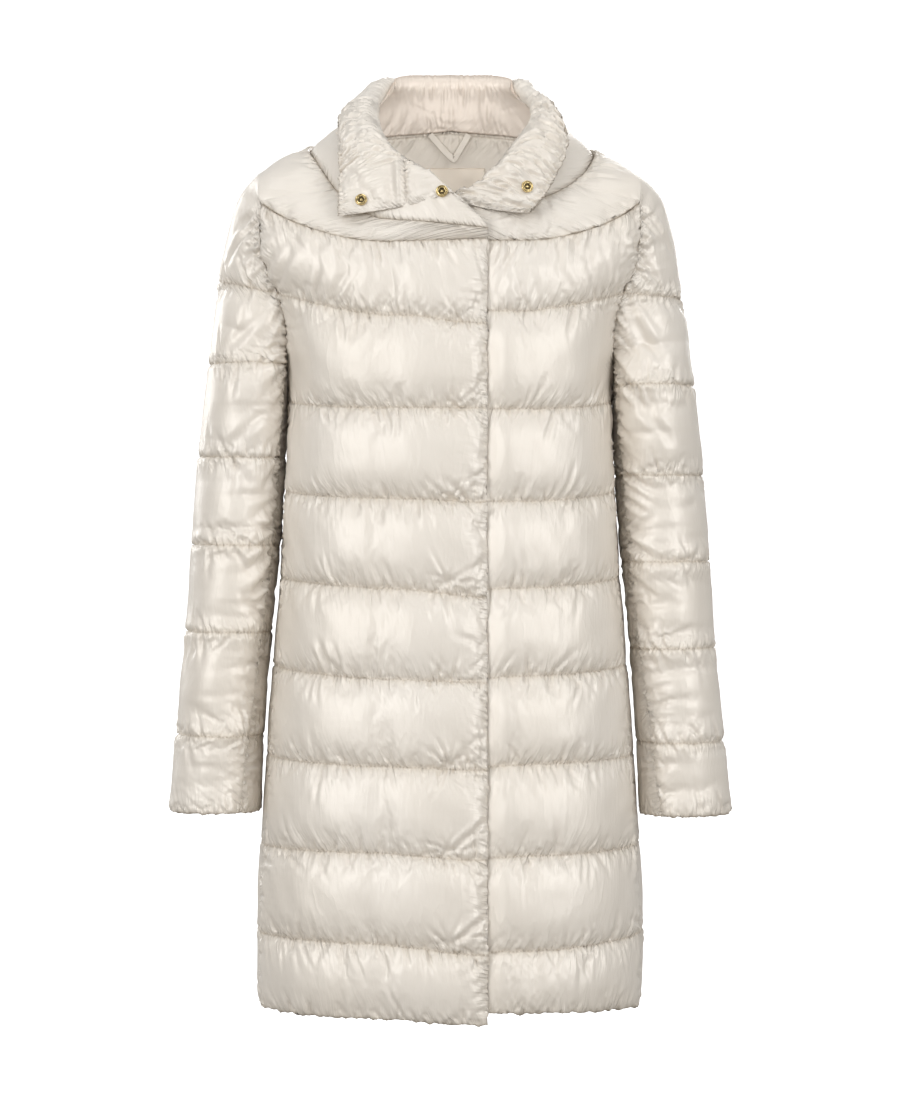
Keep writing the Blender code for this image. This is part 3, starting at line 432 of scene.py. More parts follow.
def sleeveRow(side, knots, row, across):
    # across runs from -1 at the front seam over the outer line to 1 at the back seam
    seams = sleeveQuilt[hand(side)]
    edge, outerX, outerZ, frontAngle, backAngle = (smoothAt(knots, name, row) for name in list(knots)[1:])
    middle = smoothAt(sleeve, "middle", edge)
    outer = np.array((outerX, middle, outerZ))
    front = arcToEdge(outer, sleeveSeam(edge, "front", seams), middle, frontAngle, np.maximum(-across, 0))
    back = arcToEdge(outer, sleeveSeam(edge, "back", seams), middle, backAngle, np.maximum(across, 0))
    return np.where(across[:, None] < 0, front, back) * (side, 1, 1)


def underRing(z, across):
    outer, inner = smoothAt(sleeve, "outer", z), smoothAt(sleeve, "inner", z)
    reach = (outer - inner) / 2
    seam = np.where(across < 0, smoothAt(sleeve, "frontSeam", z), smoothAt(sleeve, "backSeam", z))
    angle = np.radians(180 - (180 - seam) * abs(across))
    y = smoothAt(sleeve, "middle", z) + np.sign(across) * smoothAt(sleeve, "halfDepth", z) * np.sin(angle)
    return np.stack((inner + reach + reach * np.cos(angle), y, np.full(len(across), z)), axis=-1)


def underRow(side, z, across):
    seams = sleeveQuilt[hand(side)]
    pitTop = cloth["pitTop"]
    if z <= seams[2]:
        return underRing(z, across) * (side, 1, 1)
    pit = armholePoint(armholeFront, armholeFront["z"][0])
    share = pitShare(z, seams[1])
    eased = across * (1 - cloth["pitEase"] * share)
    front, back = armholePoint(armholeFront, pitTop), armholePoint(armholeBack, pitTop)
    corners = np.where(across[:, None] < 0, front, back)
    top = pit + (corners - pit) * abs(eased)[:, None]
    points = top + (underRing(seams[2], eased) - top) * (pitTop - z) / (pitTop - seams[2])
    return (points + np.array((cloth["pitLap"], 0, -cloth["pitDrop"])) * share) * (side, 1, 1)


def collarLines(side, angle):
    source = collarRight if side < 0 else collarLeft
    value = {name: smoothAt(source, name, angle) for name in source}
    turn = np.radians(angle)
    x, y = value["radius"] * np.sin(turn), -value["radius"] * np.cos(turn)
    neck = np.stack((x, y, value["neckZ"]), axis=-1)
    fold, edge = (np.stack([value[line + axis] for axis in "XYZ"], axis=-1) for line in ("fold", "edge"))
    return [placed(points, side) for points in (neck, fold, edge)]


def neckAngles(side, steps):
    start = (collarRight if side < 0 else collarLeft)["angle"][0]
    return spread(np.array((start, cloth["neckFront"], cloth["neckBack"], 180.0)), steps)


collarBend = {"fallOut": 0.018, "standIn": 0.003}


def collarSection(side, angles):
    # coarse section of the collar: neck seam, stand, fold, fall, for every angle
    neck, fold, edge = collarLines(side, angles)
    rise = unit(fold - neck)
    outward = edge - fold
    outward = unit(outward - rise * np.sum(outward * rise, axis=-1, keepdims=True))
    rows = []
    for fall, along in zip(collarProfile["fall"], collarProfile["along"]):
        if fall:
            bow = outward * collarBend["fallOut"] * math.sqrt(along) * (1 - along)
            rows.append(fold + (edge - fold) * along + bow)
        else:
            dip = outward * collarBend["standIn"] * math.sin(math.pi * along)
            rows.append(neck + (fold - neck) * along - dip)
    return np.array(rows)


def throughRows(rows, steps):
    # a smooth surface through rows of points, with that many steps between each two rows
    padded = np.concatenate((2 * rows[:1] - rows[1:2], rows, 2 * rows[-1:] - rows[-2:-1]))
    gaps = np.sqrt(np.maximum(np.linalg.norm(np.diff(padded, axis=0), axis=-1), 1e-9))
    made = []
    for i, count in enumerate(steps):
        p0, p1, p2, p3 = padded[i:i + 4]
        d0, d1, d2 = (gap[:, None] for gap in gaps[i:i + 3])
        m1 = (p2 - p1) - d1 * ((p2 - p0) / (d0 + d1) - (p1 - p0) / d0)
        m2 = (p2 - p1) + d1 * ((p3 - p2) / d2 - (p3 - p1) / (d1 + d2))
        for t in np.arange(count) / count:
            made.append((2 * t**3 - 3 * t**2 + 1) * p1 + (t**3 - 2 * t**2 + t) * m1
                        + (3 * t**2 - 2 * t**3) * p2 + (t**3 - t**2) * m2)
    return np.array(made + [rows[-1]])


# a grid of cloth points, with lengths along its rows and columns
class Grid:
    def __init__(self, points, flip, stitched=()):
        self.points = np.array(points)
        self.flip = flip
        self.stitched = list(stitched)
        self.height = np.zeros(self.points.shape[:2])
        across = np.linalg.norm(np.diff(self.points, axis=1), axis=-1)
        down = np.linalg.norm(np.diff(self.points, axis=0), axis=-1)
        self.across = np.concatenate((np.zeros((len(across), 1)), np.cumsum(across, axis=1)), axis=1)
        self.down = np.concatenate((np.zeros((1, down.shape[1])), np.cumsum(down, axis=0)), axis=0)
        self.stepAcross, self.stepDown = float(across.mean()), float(down.mean())

    @property
    def shape(self):
        return self.height.shape

    def fromSides(self):
        return np.minimum(self.across, self.across[:, -1:] - self.across)


padding = {
    "bodyCrown": 0.0125,
    "sleeveCrown": 0.0075,
    "underCrown": 0.0022,
    "collarCrown": 0.0080,
    "halfSide": 0.034,          # the channels are full this far from the panels' sides
    "fullness": 0.62,           # 0.5 is an ellipse, more is softer
    "sag": 0.93,                # under 1 the fill hangs low in its channel
    "pressed": 0.12,
    "sidePressed": 0.60,        # the body's sides below the armhole
    "backPressed": 0.16,
    "sideOut": 0.0030,          # the fronts' sides lie against the sleeves
    "underFull": 0.45,
    "sleeveReach": 0.040,       # the sleeves are full this far from every seam
    "sleeveEven": 0.006,
    "evenPasses": 12,
    "evening": 0.8,
}


def crown(part):
    return (1 - (1 - np.clip(part, 0, 1)) ** 2) ** padding["fullness"]


def fillChannels(grid, height):
    # swell between stitched rows and towards the sides
    for upper, lower in zip(grid.stitched, grid.stitched[1:]):
        rows = slice(upper, lower + 1)
        part = (grid.down[rows] - grid.down[upper]) / (grid.down[lower] - grid.down[upper])
        part = np.clip(part, 0, 1) ** padding["sag"]
        grid.height[rows] = height * crown(2 * np.minimum(part, 1 - part))
    left, right = grid.across, grid.across[:, -1:] - grid.across
    grid.height *= crown(left / padding["halfSide"]) * crown(right / padding["halfSide"])


def waves(grid, random, count, shortest, longest, amount):
    # smooth uneven relief, a sum of plane waves along the cloth
    total = np.zeros(grid.shape)
    for _ in range(count):
        length = math.exp(random.uniform(math.log(shortest), math.log(longest)))
        turn, phase = random.uniform(0, 2 * math.pi, 2)
        slanted = grid.across * math.cos(turn) + grid.down * math.sin(turn)
        total += np.sin(slanted * 2 * math.pi / length + phase)
    return total * amount / math.sqrt(count)


def jitter(random, count, amount, smoothing=1):
    # uneven small steps along a seam
    values = random.normal(0, 1, count + 2 * smoothing)
    kernel = np.ones(2 * smoothing + 1) / math.sqrt(2 * smoothing + 1)
    return np.convolve(values, kernel, "valid") * amount


def gridFaces(numbers, flip):
    a, b, c, d = numbers[:-1, :-1], numbers[1:, :-1], numbers[1:, 1:], numbers[:-1, 1:]
    order = (d, c, b, a) if flip else (a, b, c, d)
    return np.stack(order, axis=-1).reshape(-1, 4)


def vertexNormals(points, faces):
    crossed = np.cross(points[faces[:, 2]] - points[faces[:, 0]], points[faces[:, 3]] - points[faces[:, 1]])
    total = np.zeros_like(points)
    for k in range(4):
        np.add.at(total, faces[:, k], crossed)
    return unit(total)


# how far the materials' puckers, and the painted seam shade, reach from the seams
seamReach = {"row": 0.011, "collarRow": 0.005, "column": 0.009}


# grids joined into one cloth: what the simulation inflates and the mesh is made of
class Panel:
    def __init__(self, name, grids):
        self.name, self.grids = name, grids
        points = np.concatenate([grid.points.reshape(-1, 3) for grid in grids])
        keys = np.round(points * 2e5 + 0.137).astype(np.int64)
        _, first, ids = np.unique(keys, axis=0, return_index=True, return_inverse=True)
        ids = ids.ravel()
        self.base = points[first]
        self.ids, start = [], 0
        for grid in grids:
            self.ids.append(ids[start:start + grid.height.size].reshape(grid.shape))
            start += grid.height.size
        self.faces = np.concatenate([gridFaces(i, g.flip) for i, g in zip(self.ids, grids)])
        self.normals = vertexNormals(self.base, self.faces)
        self.pins = np.zeros(len(self.base), bool)
        self.pinShift = np.zeros((len(self.base), 3))
        self.fullness = np.ones(len(self.base))
        self.pillow = self.gather([grid.height for grid in grids])
        for grid in grids:
            grid.height = np.zeros(grid.shape)
        for i, grid in zip(self.ids, grids):
            for row in grid.stitched:
                self.pins[i[row]] = True
        for loop in boundaryLoops(self.faces):
            self.pins[loop] = True
        self.spare = inflating["spare"]
        self.under = np.zeros(len(self.base))
        self.offset = self.normals * self.pillow[:, None]

    def gather(self, values):
        # one value a point from values over the grids
        total = np.zeros(len(self.base))
        for i, value in zip(self.ids, values):
            total[i] = value
        return total

    def wander(self, freeColumns=()):
        # the stitched lines and free edges aren't quite straight or flat
        random, (seamAmount, edgeAmount) = seeded(wanderSeeds[self.name]), kindOf(self.name)["wander"]
        for i, grid in zip(self.ids, self.grids):
            for row in innerSeams(grid):
                self.shiftLine(random, i[row, 1:-1], seamAmount)
        self.shiftLine(random, self.ids[-1][-1, 1:-1], edgeAmount)
        for column in freeColumns:
            self.shiftLine(random, self.ids[-1][1:-1, column], edgeAmount)

    def shiftLine(self, random, line, amount):
        points = self.base[line]
        along = unit(np.gradient(points, axis=0))
        aside = np.cross(self.normals[line], along)
        outward = jitter(random, len(line), amount)
        sideways = jitter(random, len(line), amount * 0.8)
        lengthways = jitter(random, len(line), amount * 0.5)
        self.pinShift[line] += (self.normals[line] * outward[:, None] + aside * sideways[:, None]
                                + along * lengthways[:, None])

    def markPlaces(self, mesh, kept):
        # the cloth's own coordinates and nearness to seams, for the materials' puckers and painted seam shade
        count = len(self.base)
        place, nearRow, nearColumn = np.zeros((count, 3)), np.zeros(count), np.zeros(count)
        for number, (i, grid) in enumerate(zip(self.ids, self.grids)):
            joined = len(self.grids) > 1 and number == 0
            place[i, 0] = grid.across - (grid.across[:, self.parts[0]][:, None] if joined else 0)
            place[i, 1] = grid.down - (grid.down[-1, self.parts[0]] if joined else 0)
            gap, side = seamDistance(self, number)
            nearRow[i] = np.exp(-gap / seamReach["collarRow" if self.name == "collar" else "row"])
            nearColumn[i] = np.exp(-side / seamReach["column"])
        for name, values in (("nearRow", nearRow), ("nearColumn", nearColumn)):
            layer = mesh.attributes.new(name, "FLOAT", "POINT")
            layer.data.foreach_set("value", np.tile(values, 2)[kept].astype(np.float32))
        layer = mesh.attributes.new("clothPlace", "FLOAT_VECTOR", "POINT")
        layer.data.foreach_set("vector", np.tile(place, (2, 1))[kept].astype(np.float32).ravel())

    def surface(self, outGap):
        detail = self.gather([grid.height for grid in self.grids])
        return self.base + self.offset + self.pinShift + self.normals * (detail + outGap)[:, None]


inflating = {
    "frames": 14,
    "quality": 4,
    "pressure": 40.0,
    "spare": 0.09,              # cloth beyond what the seams span
    "start": 0.30,              # part of the pillow's height at the first frame
    "flatten": 0.72,            # the pillows keep this part of their height
    "lowest": -0.0012,
    "noise": 0.0003,
    "stretching": 15,
    "shearing": 5,
    "bending": 0.005,
    "damping": 2,
}


def betweenColumns(values):
    # fills every second column smoothly from its neighbours
    given = values[:, ::2]
    before, after = 2 * given[:, :1] - given[:, 1:2], 2 * given[:, -1:] - given[:, -2:-1]
    ends = np.concatenate((before, given, after), axis=1)
    values[:, 1::2] = (9 * (ends[:, 1:-2] + ends[:, 2:-1]) - ends[:, :-3] - ends[:, 3:]) / 16


def inflate(panels):
    # cloth under pressure, held at its stitches, all panels at once
    scene = bpy.context.scene
    made = []
    for number, panel in enumerate(panels):
        random = seeded(otherSeeds["inflating"] + number)
        faces = np.concatenate([gridFaces(i[:, ::2], grid.flip) for i, grid in zip(panel.ids, panel.grids)])
        used, faces = np.unique(faces, return_inverse=True)
        faces = faces.reshape(-1, 4)
        pins, normals = panel.pins[used], panel.normals[used]
        start = (panel.base + panel.pinShift)[used]
        start[~pins] += (normals * (panel.pillow[used] * inflating["start"])[:, None])[~pins]
        start[~pins] += normals[~pins] * random.normal(0, inflating["noise"], ((~pins).sum(), 1))
        mesh = bpy.data.meshes.new("inflating")
        mesh.from_pydata(start.tolist(), [], faces.tolist())
        cushion = bpy.data.objects.new("inflating", mesh)
        scene.collection.objects.link(cushion)
        held = cushion.vertex_groups.new(name="held")
        held.add(np.where(pins)[0].tolist(), 1.0, "REPLACE")
        modifier = cushion.modifiers.new("Cloth", "CLOTH")
        settings = modifier.settings
        settings.vertex_group_mass = "held"
        settings.shrink_min = settings.shrink_max = -panel.spare
        settings.quality = inflating["quality"]
        settings.tension_stiffness = settings.compression_stiffness = inflating["stretching"]
        settings.shear_stiffness = inflating["shearing"]
        settings.bending_stiffness = inflating["bending"]
        settings.air_damping = inflating["damping"]
        settings.use_pressure = True
        settings.uniform_pressure_force = inflating["pressure"]
        settings.effector_weights.gravity = 0
        modifier.collision_settings.use_collision = False
        modifier.point_cache.frame_start = 1
        modifier.point_cache.frame_end = inflating["frames"]
        made.append((panel, cushion, used))
    for step in range(1, inflating["frames"] + 1):
        scene.frame_set(step)
    depsgraph = bpy.context.evaluated_depsgraph_get()
    for panel, cushion, used in made:
        found = np.empty(len(used) * 3, np.float32)
        cushion.evaluated_get(depsgraph).data.vertices.foreach_get("co", found)
        panel.offset[used] = found.reshape(-1, 3).astype(float) - (panel.base + panel.pinShift)[used]
        for i in panel.ids:
            moved = panel.offset[i]
            betweenColumns(moved)
            panel.offset[i] = moved
        panel.offset[panel.pins] = 0
        bpy.data.objects.remove(cushion)
    scene.frame_set(1)


def settle(panel):
    # keep the cloth within reach, and flat where other pieces press on it
    tallest = kindOf(panel.name)["tallest"]
    height = np.sum(panel.offset * panel.normals, axis=1)
    full = np.maximum(height * inflating["flatten"], inflating["lowest"])
    lower = np.where(full > 0, full / (1 + (np.maximum(full, 0) / tallest) ** 3) ** (1 / 3), full)
    panel.offset += panel.normals * (lower - height)[:, None]
    panel.offset *= panel.fullness[:, None]


calming = {
    "along": 0.022,             # folds are smoothed over this length of seam
    "near": 0.022,              # and kept within about this distance of the stitches
    "fade": 1.6,
    "kept": 1.25,
    "patches": (9, 0.05, 0.20, 0.55),   # waves that vary the distance: count, lengths and amount
    "least": 0.2,
    "most": 2.2,
}


def seamDistance(panel, number):
    # distance along the cloth to the nearest stitched row, and to the nearer side
    grid = panel.grids[number]
    rows = [int(row) for row in grid.stitched] + [grid.shape[0] - 1]
    if number == 0 or len(panel.grids) == 1:
        rows.append(0)
    gap = np.min([abs(grid.down - grid.down[row]) for row in rows], axis=0)
    if len(panel.grids) > 1 and number == 0:
        frontSteps, shoulderSteps, _ = panel.parts
        shoulder = slice(frontSteps, frontSteps + shoulderSteps)
        gap[:, shoulder] = grid.down[:, shoulder]
    return gap, grid.fromSides()


def calm(panel, number, random):
    # long smooth pillows, with the folds kept near the stitches
    i, grid = panel.ids[number], panel.grids[number]
    moved, middle = panel.offset[i], kindOf(panel.name)["folds"]
    steps = grid.across[:, -1].mean() / (grid.shape[1] - 1)
    place = np.arange(grid.shape[1]) * steps
    weights = np.exp(-0.5 * ((place[:, None] - place[None, :]) / calming["along"]) ** 2)
    weights /= weights.sum(axis=1, keepdims=True)
    smooth = np.einsum("ab,rbk->rak", weights, moved)
    gap, side = seamDistance(panel, number)
    nearest = np.minimum(gap, side)
    uneven = np.clip(1 + waves(grid, random, *calming["patches"]), calming["least"], calming["most"])
    share = middle + (1 - middle) * np.exp(-(nearest / (calming["near"] * uneven)) ** calming["fade"])
    share = share * calming["kept"] * (1 - steadiness(panel, number))
    panel.offset[i] = smooth + (moved - smooth) * share[..., None]


trough = {
    "narrow": 0.55,             # its width at the seam and how much it widens
    "widen": 0.75,
    "rise": 0.10,
    "tail": 0.9,
    "steep": 1.5,
    "ridge": 0.38,
    "ridgeAt": 1.75,            # in widths from its middle
    "ridgeWidth": 0.8,
    "margin": 4,                # mesh points round it
}


def pressTrough(grid, i, j, heading, length, width, depth, bend):
    # a tapered trough with a low ridge on each side, from a grid point along the cloth
    rows, columns = grid.shape
    high, wide = (int(length / step) + trough["margin"] for step in (grid.stepDown, grid.stepAcross))
    top, bottom = max(i - high, 0), min(i + high + 1, rows)
    left, right = max(j - wide, 0), min(j + wide + 1, columns)
    points = grid.points[top:bottom, left:right] - grid.points[i, j]
    i2, j2 = min(i + 1, rows - 1), min(j + 1, columns - 1)
    down = grid.points[i2, j] - grid.points[i2 - 1, j]
    along = grid.points[i, j2] - grid.points[i, j2 - 1]
    down = down / np.linalg.norm(down)
    along = along - down * np.dot(along, down)
    along = along / np.linalg.norm(along)
    ahead = down * math.cos(heading) + along * math.sin(heading)
    beside = along * math.cos(heading) - down * math.sin(heading)
    s = points @ ahead / length
    w = points @ beside - bend * length * s * s
    w = w / (width * (trough["narrow"] + trough["widen"] * np.clip(s, 0, 1)))
    lengthwise = np.clip(s / trough["rise"], 0, 1) * np.clip(1 - s, 0, 1) ** trough["tail"]
    ridge = trough["ridge"] * np.exp(-((abs(w) - trough["ridgeAt"]) / trough["ridgeWidth"]) ** 2)
    sideways = -np.exp(-trough["steep"] * abs(w)) + ridge
    grid.height[top:bottom, left:right] += np.where((s > 0) & (s < 1), depth * lengthwise * sideways, 0)


pucker = {
    "pitch": 0.0060,            # mean distance between puckers along a seam
    "pitchSpread": 0.35,
    "length": 0.0125,
    "lengthSpread": 0.42,
    "shortest": 0.0040,
    "longest": 0.0450,
    "longShare": 0.07,          # so many are long ones, of this part of the longest
    "longParts": (0.5, 1.0),
    "width": 0.0020,
    "widths": (0.7, 1.35),
    "widen": 12,                # longer puckers are wider, and deeper up to a limit
    "depth": 0.0026,
    "depths": (0.45, 1.3),
    "shallow": 0.6,
    "deepen": 25,
    "deepest": 1.5,
    "slant": 0.25,              # radians
    "bend": 0.25,
    "clusters": 0.060,          # puckers grow and shrink over this length of seam
    "swell": 0.45,
    "ripple": 0.3,              # and again, less and faster
    "rippleTurns": 2.3,
}


def puckerSeam(grid, random, line, inward, share=1.0, slant=0.0, sizes=pucker):
    # puckers along a line of grid points, running inward from it: (1, 0) is down the rows
    along = lengthAlong(np.array([grid.points[i, j] for i, j in line]))
    phase, phase2 = random.uniform(0, 2 * math.pi, 2)
    place = random.uniform(0, sizes["pitch"])
    base = math.atan2(inward[1], inward[0])
    while place < along[-1]:
        k = int(np.searchsorted(along, place))
        turn = 2 * math.pi * place / sizes["clusters"]
        ripple = sizes["ripple"] * math.sin(sizes["rippleTurns"] * turn + phase2)
        swell = 1 + sizes["swell"] * math.sin(turn + phase) + ripple
        length = sizes["length"] * swell * math.exp(random.normal(0, sizes["lengthSpread"]))
        if random.uniform() < sizes["longShare"]:
            length = random.uniform(*sizes["longParts"]) * sizes["longest"]
        length = min(max(length, sizes["shortest"]), sizes["longest"])
        width = sizes["width"] * random.uniform(*sizes["widths"]) * (1 + sizes["widen"] * length)
        deepened = min(sizes["deepest"], sizes["shallow"] + sizes["deepen"] * length)
        depth = share * sizes["depth"] * random.uniform(*sizes["depths"]) * deepened
        heading = base + slant + random.normal(0, sizes["slant"])
        i, j = line[min(k, len(line) - 1)]
        pressTrough(grid, i, j, heading, length, width, depth, random.uniform(-sizes["bend"], sizes["bend"]))
        place += sizes["pitch"] * math.exp(random.normal(0, sizes["pitchSpread"]))


def rowLine(grid, i, start=0, stop=None):
    return [(i, j) for j in range(start, grid.shape[1] if stop is None else stop)]


def columnLine(grid, j, start=0, stop=None):
    j = j % grid.shape[1]
    return [(i, j) for i in range(start, grid.shape[0] if stop is None else stop)]


def innerSeams(grid):
    return [row for row in grid.stitched if 0 < row < grid.shape[0] - 1]


def puckerQuilting(grid, random, slant=0.0):
    for i in grid.stitched:
        if i < grid.shape[0] - 1:
            puckerSeam(grid, random, rowLine(grid, i), (1, 0), 1.0, slant)
        if i > 0:
            puckerSeam(grid, random, rowLine(grid, i), (-1, 0), 1.0, slant)


def puckerSides(grid, random, share, start=0, stop=None):
    for column, inward in ((0, (0, 1)), (-1, (0, -1))):
        puckerSeam(grid, random, columnLine(grid, column, start, stop), inward, share)


# the main creases as seen from the front (facing -1) or the back (1); a negative depth is a ridge
creases = readTable("""
    facing  fromX    fromZ    toX      toZ      width   depth
    -1     -0.1680  -0.0850  -0.2150  -0.1500  0.0050  0.0026
    -1     -0.1550  -0.0900  -0.1950  -0.1700  0.0038  0.0022
    -1     -0.1820  -0.1500  -0.2250  -0.1950  0.0045  0.0024
    -1     -0.1700  -0.1750  -0.2050  -0.2300  0.0038  0.0020
    -1     -0.1850  -0.2550  -0.2250  -0.2950  0.0040  0.0018
    -1      0.1780  -0.1550   0.2180  -0.2150  0.0045  0.0024
    -1      0.1850  -0.0800   0.2100  -0.1250  0.0040  0.0020
    -1      0.1900  -0.2500   0.2250  -0.2950  0.0040  0.0018
    -1     -0.0030  -0.7000   0.0380  -0.6650  0.0030  0.0030
    -1     -0.0030  -0.7920   0.0380  -0.7600  0.0030  0.0030
    -1     -0.0455   0.0050  -0.0435  -0.0600  0.0022  0.0060
    -1     -0.0510   0.0020  -0.0500  -0.0600  0.0040 -0.0030
    -1      0.0474  -0.0115   0.0807  -0.0347  0.0050 -0.0042
    -1      0.0500  -0.0230   0.0700  -0.0380  0.0030  0.0022
    -1      0.0280  -0.0660   0.0570  -0.0550  0.0016  0.0018
    -1      0.0270  -0.0610   0.0500  -0.0520  0.0016  0.0016
    -1      0.0300  -0.0710   0.0640  -0.0600  0.0018  0.0018
    -1     -0.0560  -0.0620   0.0060  -0.0740  0.0020  0.0020
    -1     -0.0300  -0.0570   0.0280  -0.0780  0.0020  0.0020
    -1     -0.0100  -0.0540   0.0350  -0.0760  0.0018  0.0018
     1     -0.1500  -0.0950  -0.1150  -0.1500  0.0050  0.0026
     1      0.1450  -0.1000   0.1200  -0.1550  0.0050  0.0022
     1     -0.1850  -0.1550  -0.2250  -0.2100  0.0045  0.0020
     1      0.1820  -0.1500   0.2250  -0.2000  0.0045  0.0020
     1      0.1650  -0.4400   0.1350  -0.5000  0.0040  0.0018
     1     -0.1650  -0.5250  -0.1300  -0.5800  0.0040  0.0018
""")
# hidden snaps under the right front's edge draw the cloth in
pinches = readTable("""
    x        z
    0.0070  -0.1680
    0.0050  -0.2560
    0.0020  -0.3500
   -0.0030  -0.4300
    0.0000  -0.5290
   -0.0020  -0.6130
   -0.0040  -0.6970
   -0.0030  -0.7880
""")
pinchMake = {
    "radius": 0.0060,
    "depth": 0.0030,
    "folds": 9,
    "turn": 0.3,                # parts of the angle between two folds
    "length": 0.036,
    "lengths": (0.4, 1.25),
    "width": 0.0023,
    "foldDepth": 0.0034,
    "foldDepths": (0.5, 1.2),
    "bend": 0.3,
}


def pinch(grid, random):
    x, y, z = xyz(grid.points)
    for pinchX, pinchZ in zip(pinches["x"], pinches["z"]):
        away = np.hypot(x - pinchX, z - pinchZ) + np.where(y > 0, 1.0, 0.0)
        i, j = np.unravel_index(np.argmin(away), away.shape)
        grid.height -= pinchMake["depth"] * np.exp(-(away / pinchMake["radius"]) ** 2)
        for fold in range(pinchMake["folds"]):
            turn = fold + random.uniform(-pinchMake["turn"], pinchMake["turn"])
            heading = 2 * math.pi * turn / pinchMake["folds"]
            length = pinchMake["length"] * random.uniform(*pinchMake["lengths"])
            depth = pinchMake["foldDepth"] * random.uniform(*pinchMake["foldDepths"])
            bend = random.uniform(-pinchMake["bend"], pinchMake["bend"])
            pressTrough(grid, i, j, heading, length, pinchMake["width"], depth, bend)


groove = {"body": 0.0012, "sleeve": 0.0010, "reach": 0.0016}


def grooveSeams(panel, number, depth):
    # the cloth rises steeply from its stitches
    gap, side = seamDistance(panel, number)
    panel.grids[number].height += depth * (1 - np.exp(-np.minimum(gap, side) / groove["reach"]))


creaseMake = {"ridge": 0.4, "ridgeAt": 1.8, "ridgeWidth": 0.8, "ends": 3}


def pressCreases(grid):
    x, y, z = xyz(grid.points)
    for facing, fromX, fromZ, toX, toZ, width, depth in zip(*creases.values()):
        alongX, alongZ = toX - fromX, toZ - fromZ
        length = math.hypot(alongX, alongZ)
        part = ((x - fromX) * alongX + (z - fromZ) * alongZ) / length**2
        aside = ((x - fromX) * alongZ - (z - fromZ) * alongX) / length / width
        ends = np.clip(1 - (2 * abs(part - 0.5)) ** creaseMake["ends"], 0, 1)
        ridge = np.exp(-((abs(aside) - creaseMake["ridgeAt"]) / creaseMake["ridgeWidth"]) ** 2)
        sideways = -np.exp(-aside**2) + creaseMake["ridge"] * ridge
        grid.height += np.where(facing * y > 0, depth * ends * sideways, 0)


def boundaryLoops(faces):
    starts = faces.ravel()
    ends = np.roll(faces, -1, axis=1).ravel()
    known = set(zip(starts.tolist(), ends.tolist()))
    following = {a: b for a, b in known if (b, a) not in known}
    loops = []
    while following:
        loop = [min(following)]
        while loop[-1] in following:
            loop.append(following.pop(loop[-1]))
        loops.append(loop[:-1])
    return loops


def edgeStrip(loop, marked, shift):
    # triangles from the outside's edge to the inside's coarser edge
    places = [k for k, vertex in enumerate(loop) if marked[vertex]]
    loop = loop[places[0]:] + loop[:places[0]]
    places = [k - places[0] for k in places] + [len(loop)]
    loop.append(loop[0])
    triangles = []
    for here, there in zip(places, places[1:]):
        near, far, middle = loop[here] + shift, loop[there] + shift, (here + there + 1) // 2
        for k in range(here, middle):
            triangles.append((loop[k + 1], loop[k], near))
        triangles.append((loop[middle], near, far))
        for k in range(middle, there):
            triangles.append((loop[k + 1], loop[k], far))
    return triangles


def buildPanel(panel, material, slotName, outGap=cloth["outGap"], wallIn=cloth["wallIn"]):
    # one closed piece: a fine outside, a coarser inside, and the edges between
    every = cloth["insideEvery"]
    count = len(panel.base)
    outer = panel.surface(outGap)
    inner = panel.base + panel.pinShift * 0.5 - panel.normals * (wallIn + panel.under)[:, None]
    marked = np.zeros(count, bool)
    rough = []
    for i, grid in zip(panel.ids, panel.grids):
        marked[i[::every, ::every]] = True
        rough.append(gridFaces(i[::every, ::every], grid.flip))
    rough = np.concatenate(rough)[:, ::-1] + count
    triangles = []
    for loop in boundaryLoops(panel.faces):
        triangles += edgeStrip(loop, marked, count)
    triangles = np.array(triangles)
    used = np.zeros(2 * count, bool)
    for part in (panel.faces, rough, triangles):
        used[part.ravel()] = True
    renumber = np.cumsum(used) - 1
    vertices = np.concatenate((outer, inner))[used]
    faces = renumber[panel.faces].tolist() + renumber[rough].tolist() + renumber[triangles].tolist()
    panel.outer = outer
    made = addMesh(panel.name + "_cloth", vertices, faces, material, [panel.name])
    panel.markPlaces(made.data, used)
    return made


def addMesh(name, vertices, faces, material, replaced=()):
    mesh = bpy.data.meshes.new(name)
    mesh.from_pydata(np.asarray(vertices, float).tolist(), [], faces)
    mesh.shade_smooth()
    made = bpy.data.objects.new(name, mesh)
    bpy.context.scene.collection.objects.link(made)
    mesh.materials.append(material)
    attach(made, "root")
    if replaced:
        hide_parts(*replaced)
    return made


def newMaterial(name, base, roughness, metallic=0.0):
    material = bpy.data.materials.new(name)
    material.use_nodes = True
    shader = material.node_tree.nodes["Principled BSDF"]
    shader.inputs["Base Color"].default_value = (*base, 1)
    shader.inputs["Roughness"].default_value = roughness
    shader.inputs["Metallic"].default_value = metallic
    return material, shader


def newGroup(name, inputs, outputs):
    group = bpy.data.node_groups.new(name, "ShaderNodeTree")
    for label, kind, value in inputs:
        socket = group.interface.new_socket(label, in_out="INPUT", socket_type="NodeSocket" + kind)
        socket.default_value = value
    for label, kind in outputs:
        group.interface.new_socket(label, in_out="OUTPUT", socket_type="NodeSocket" + kind)
    return group, group.nodes.new("NodeGroupInput"), group.nodes.new("NodeGroupOutput")


def feed(tree, socket, value):
    # a socket is joined to another node's output or set to a value
    if isinstance(value, bpy.types.NodeSocket):
        tree.links.new(value, socket)
    else:
        socket.default_value = value


def addNode(tree, kind, settings=None, **inputs):
    # a node with its settings and its inputs, by their labels or as i0, i1 and so on
    node = tree.nodes.new("ShaderNode" + kind)
    for key, value in (settings or {}).items():
        setattr(node, key, value)
    for key, value in inputs.items():
        place = int(key[1:]) if key[1:].isdigit() else key.replace("_", " ")
        feed(tree, node.inputs[place], value)
    return node


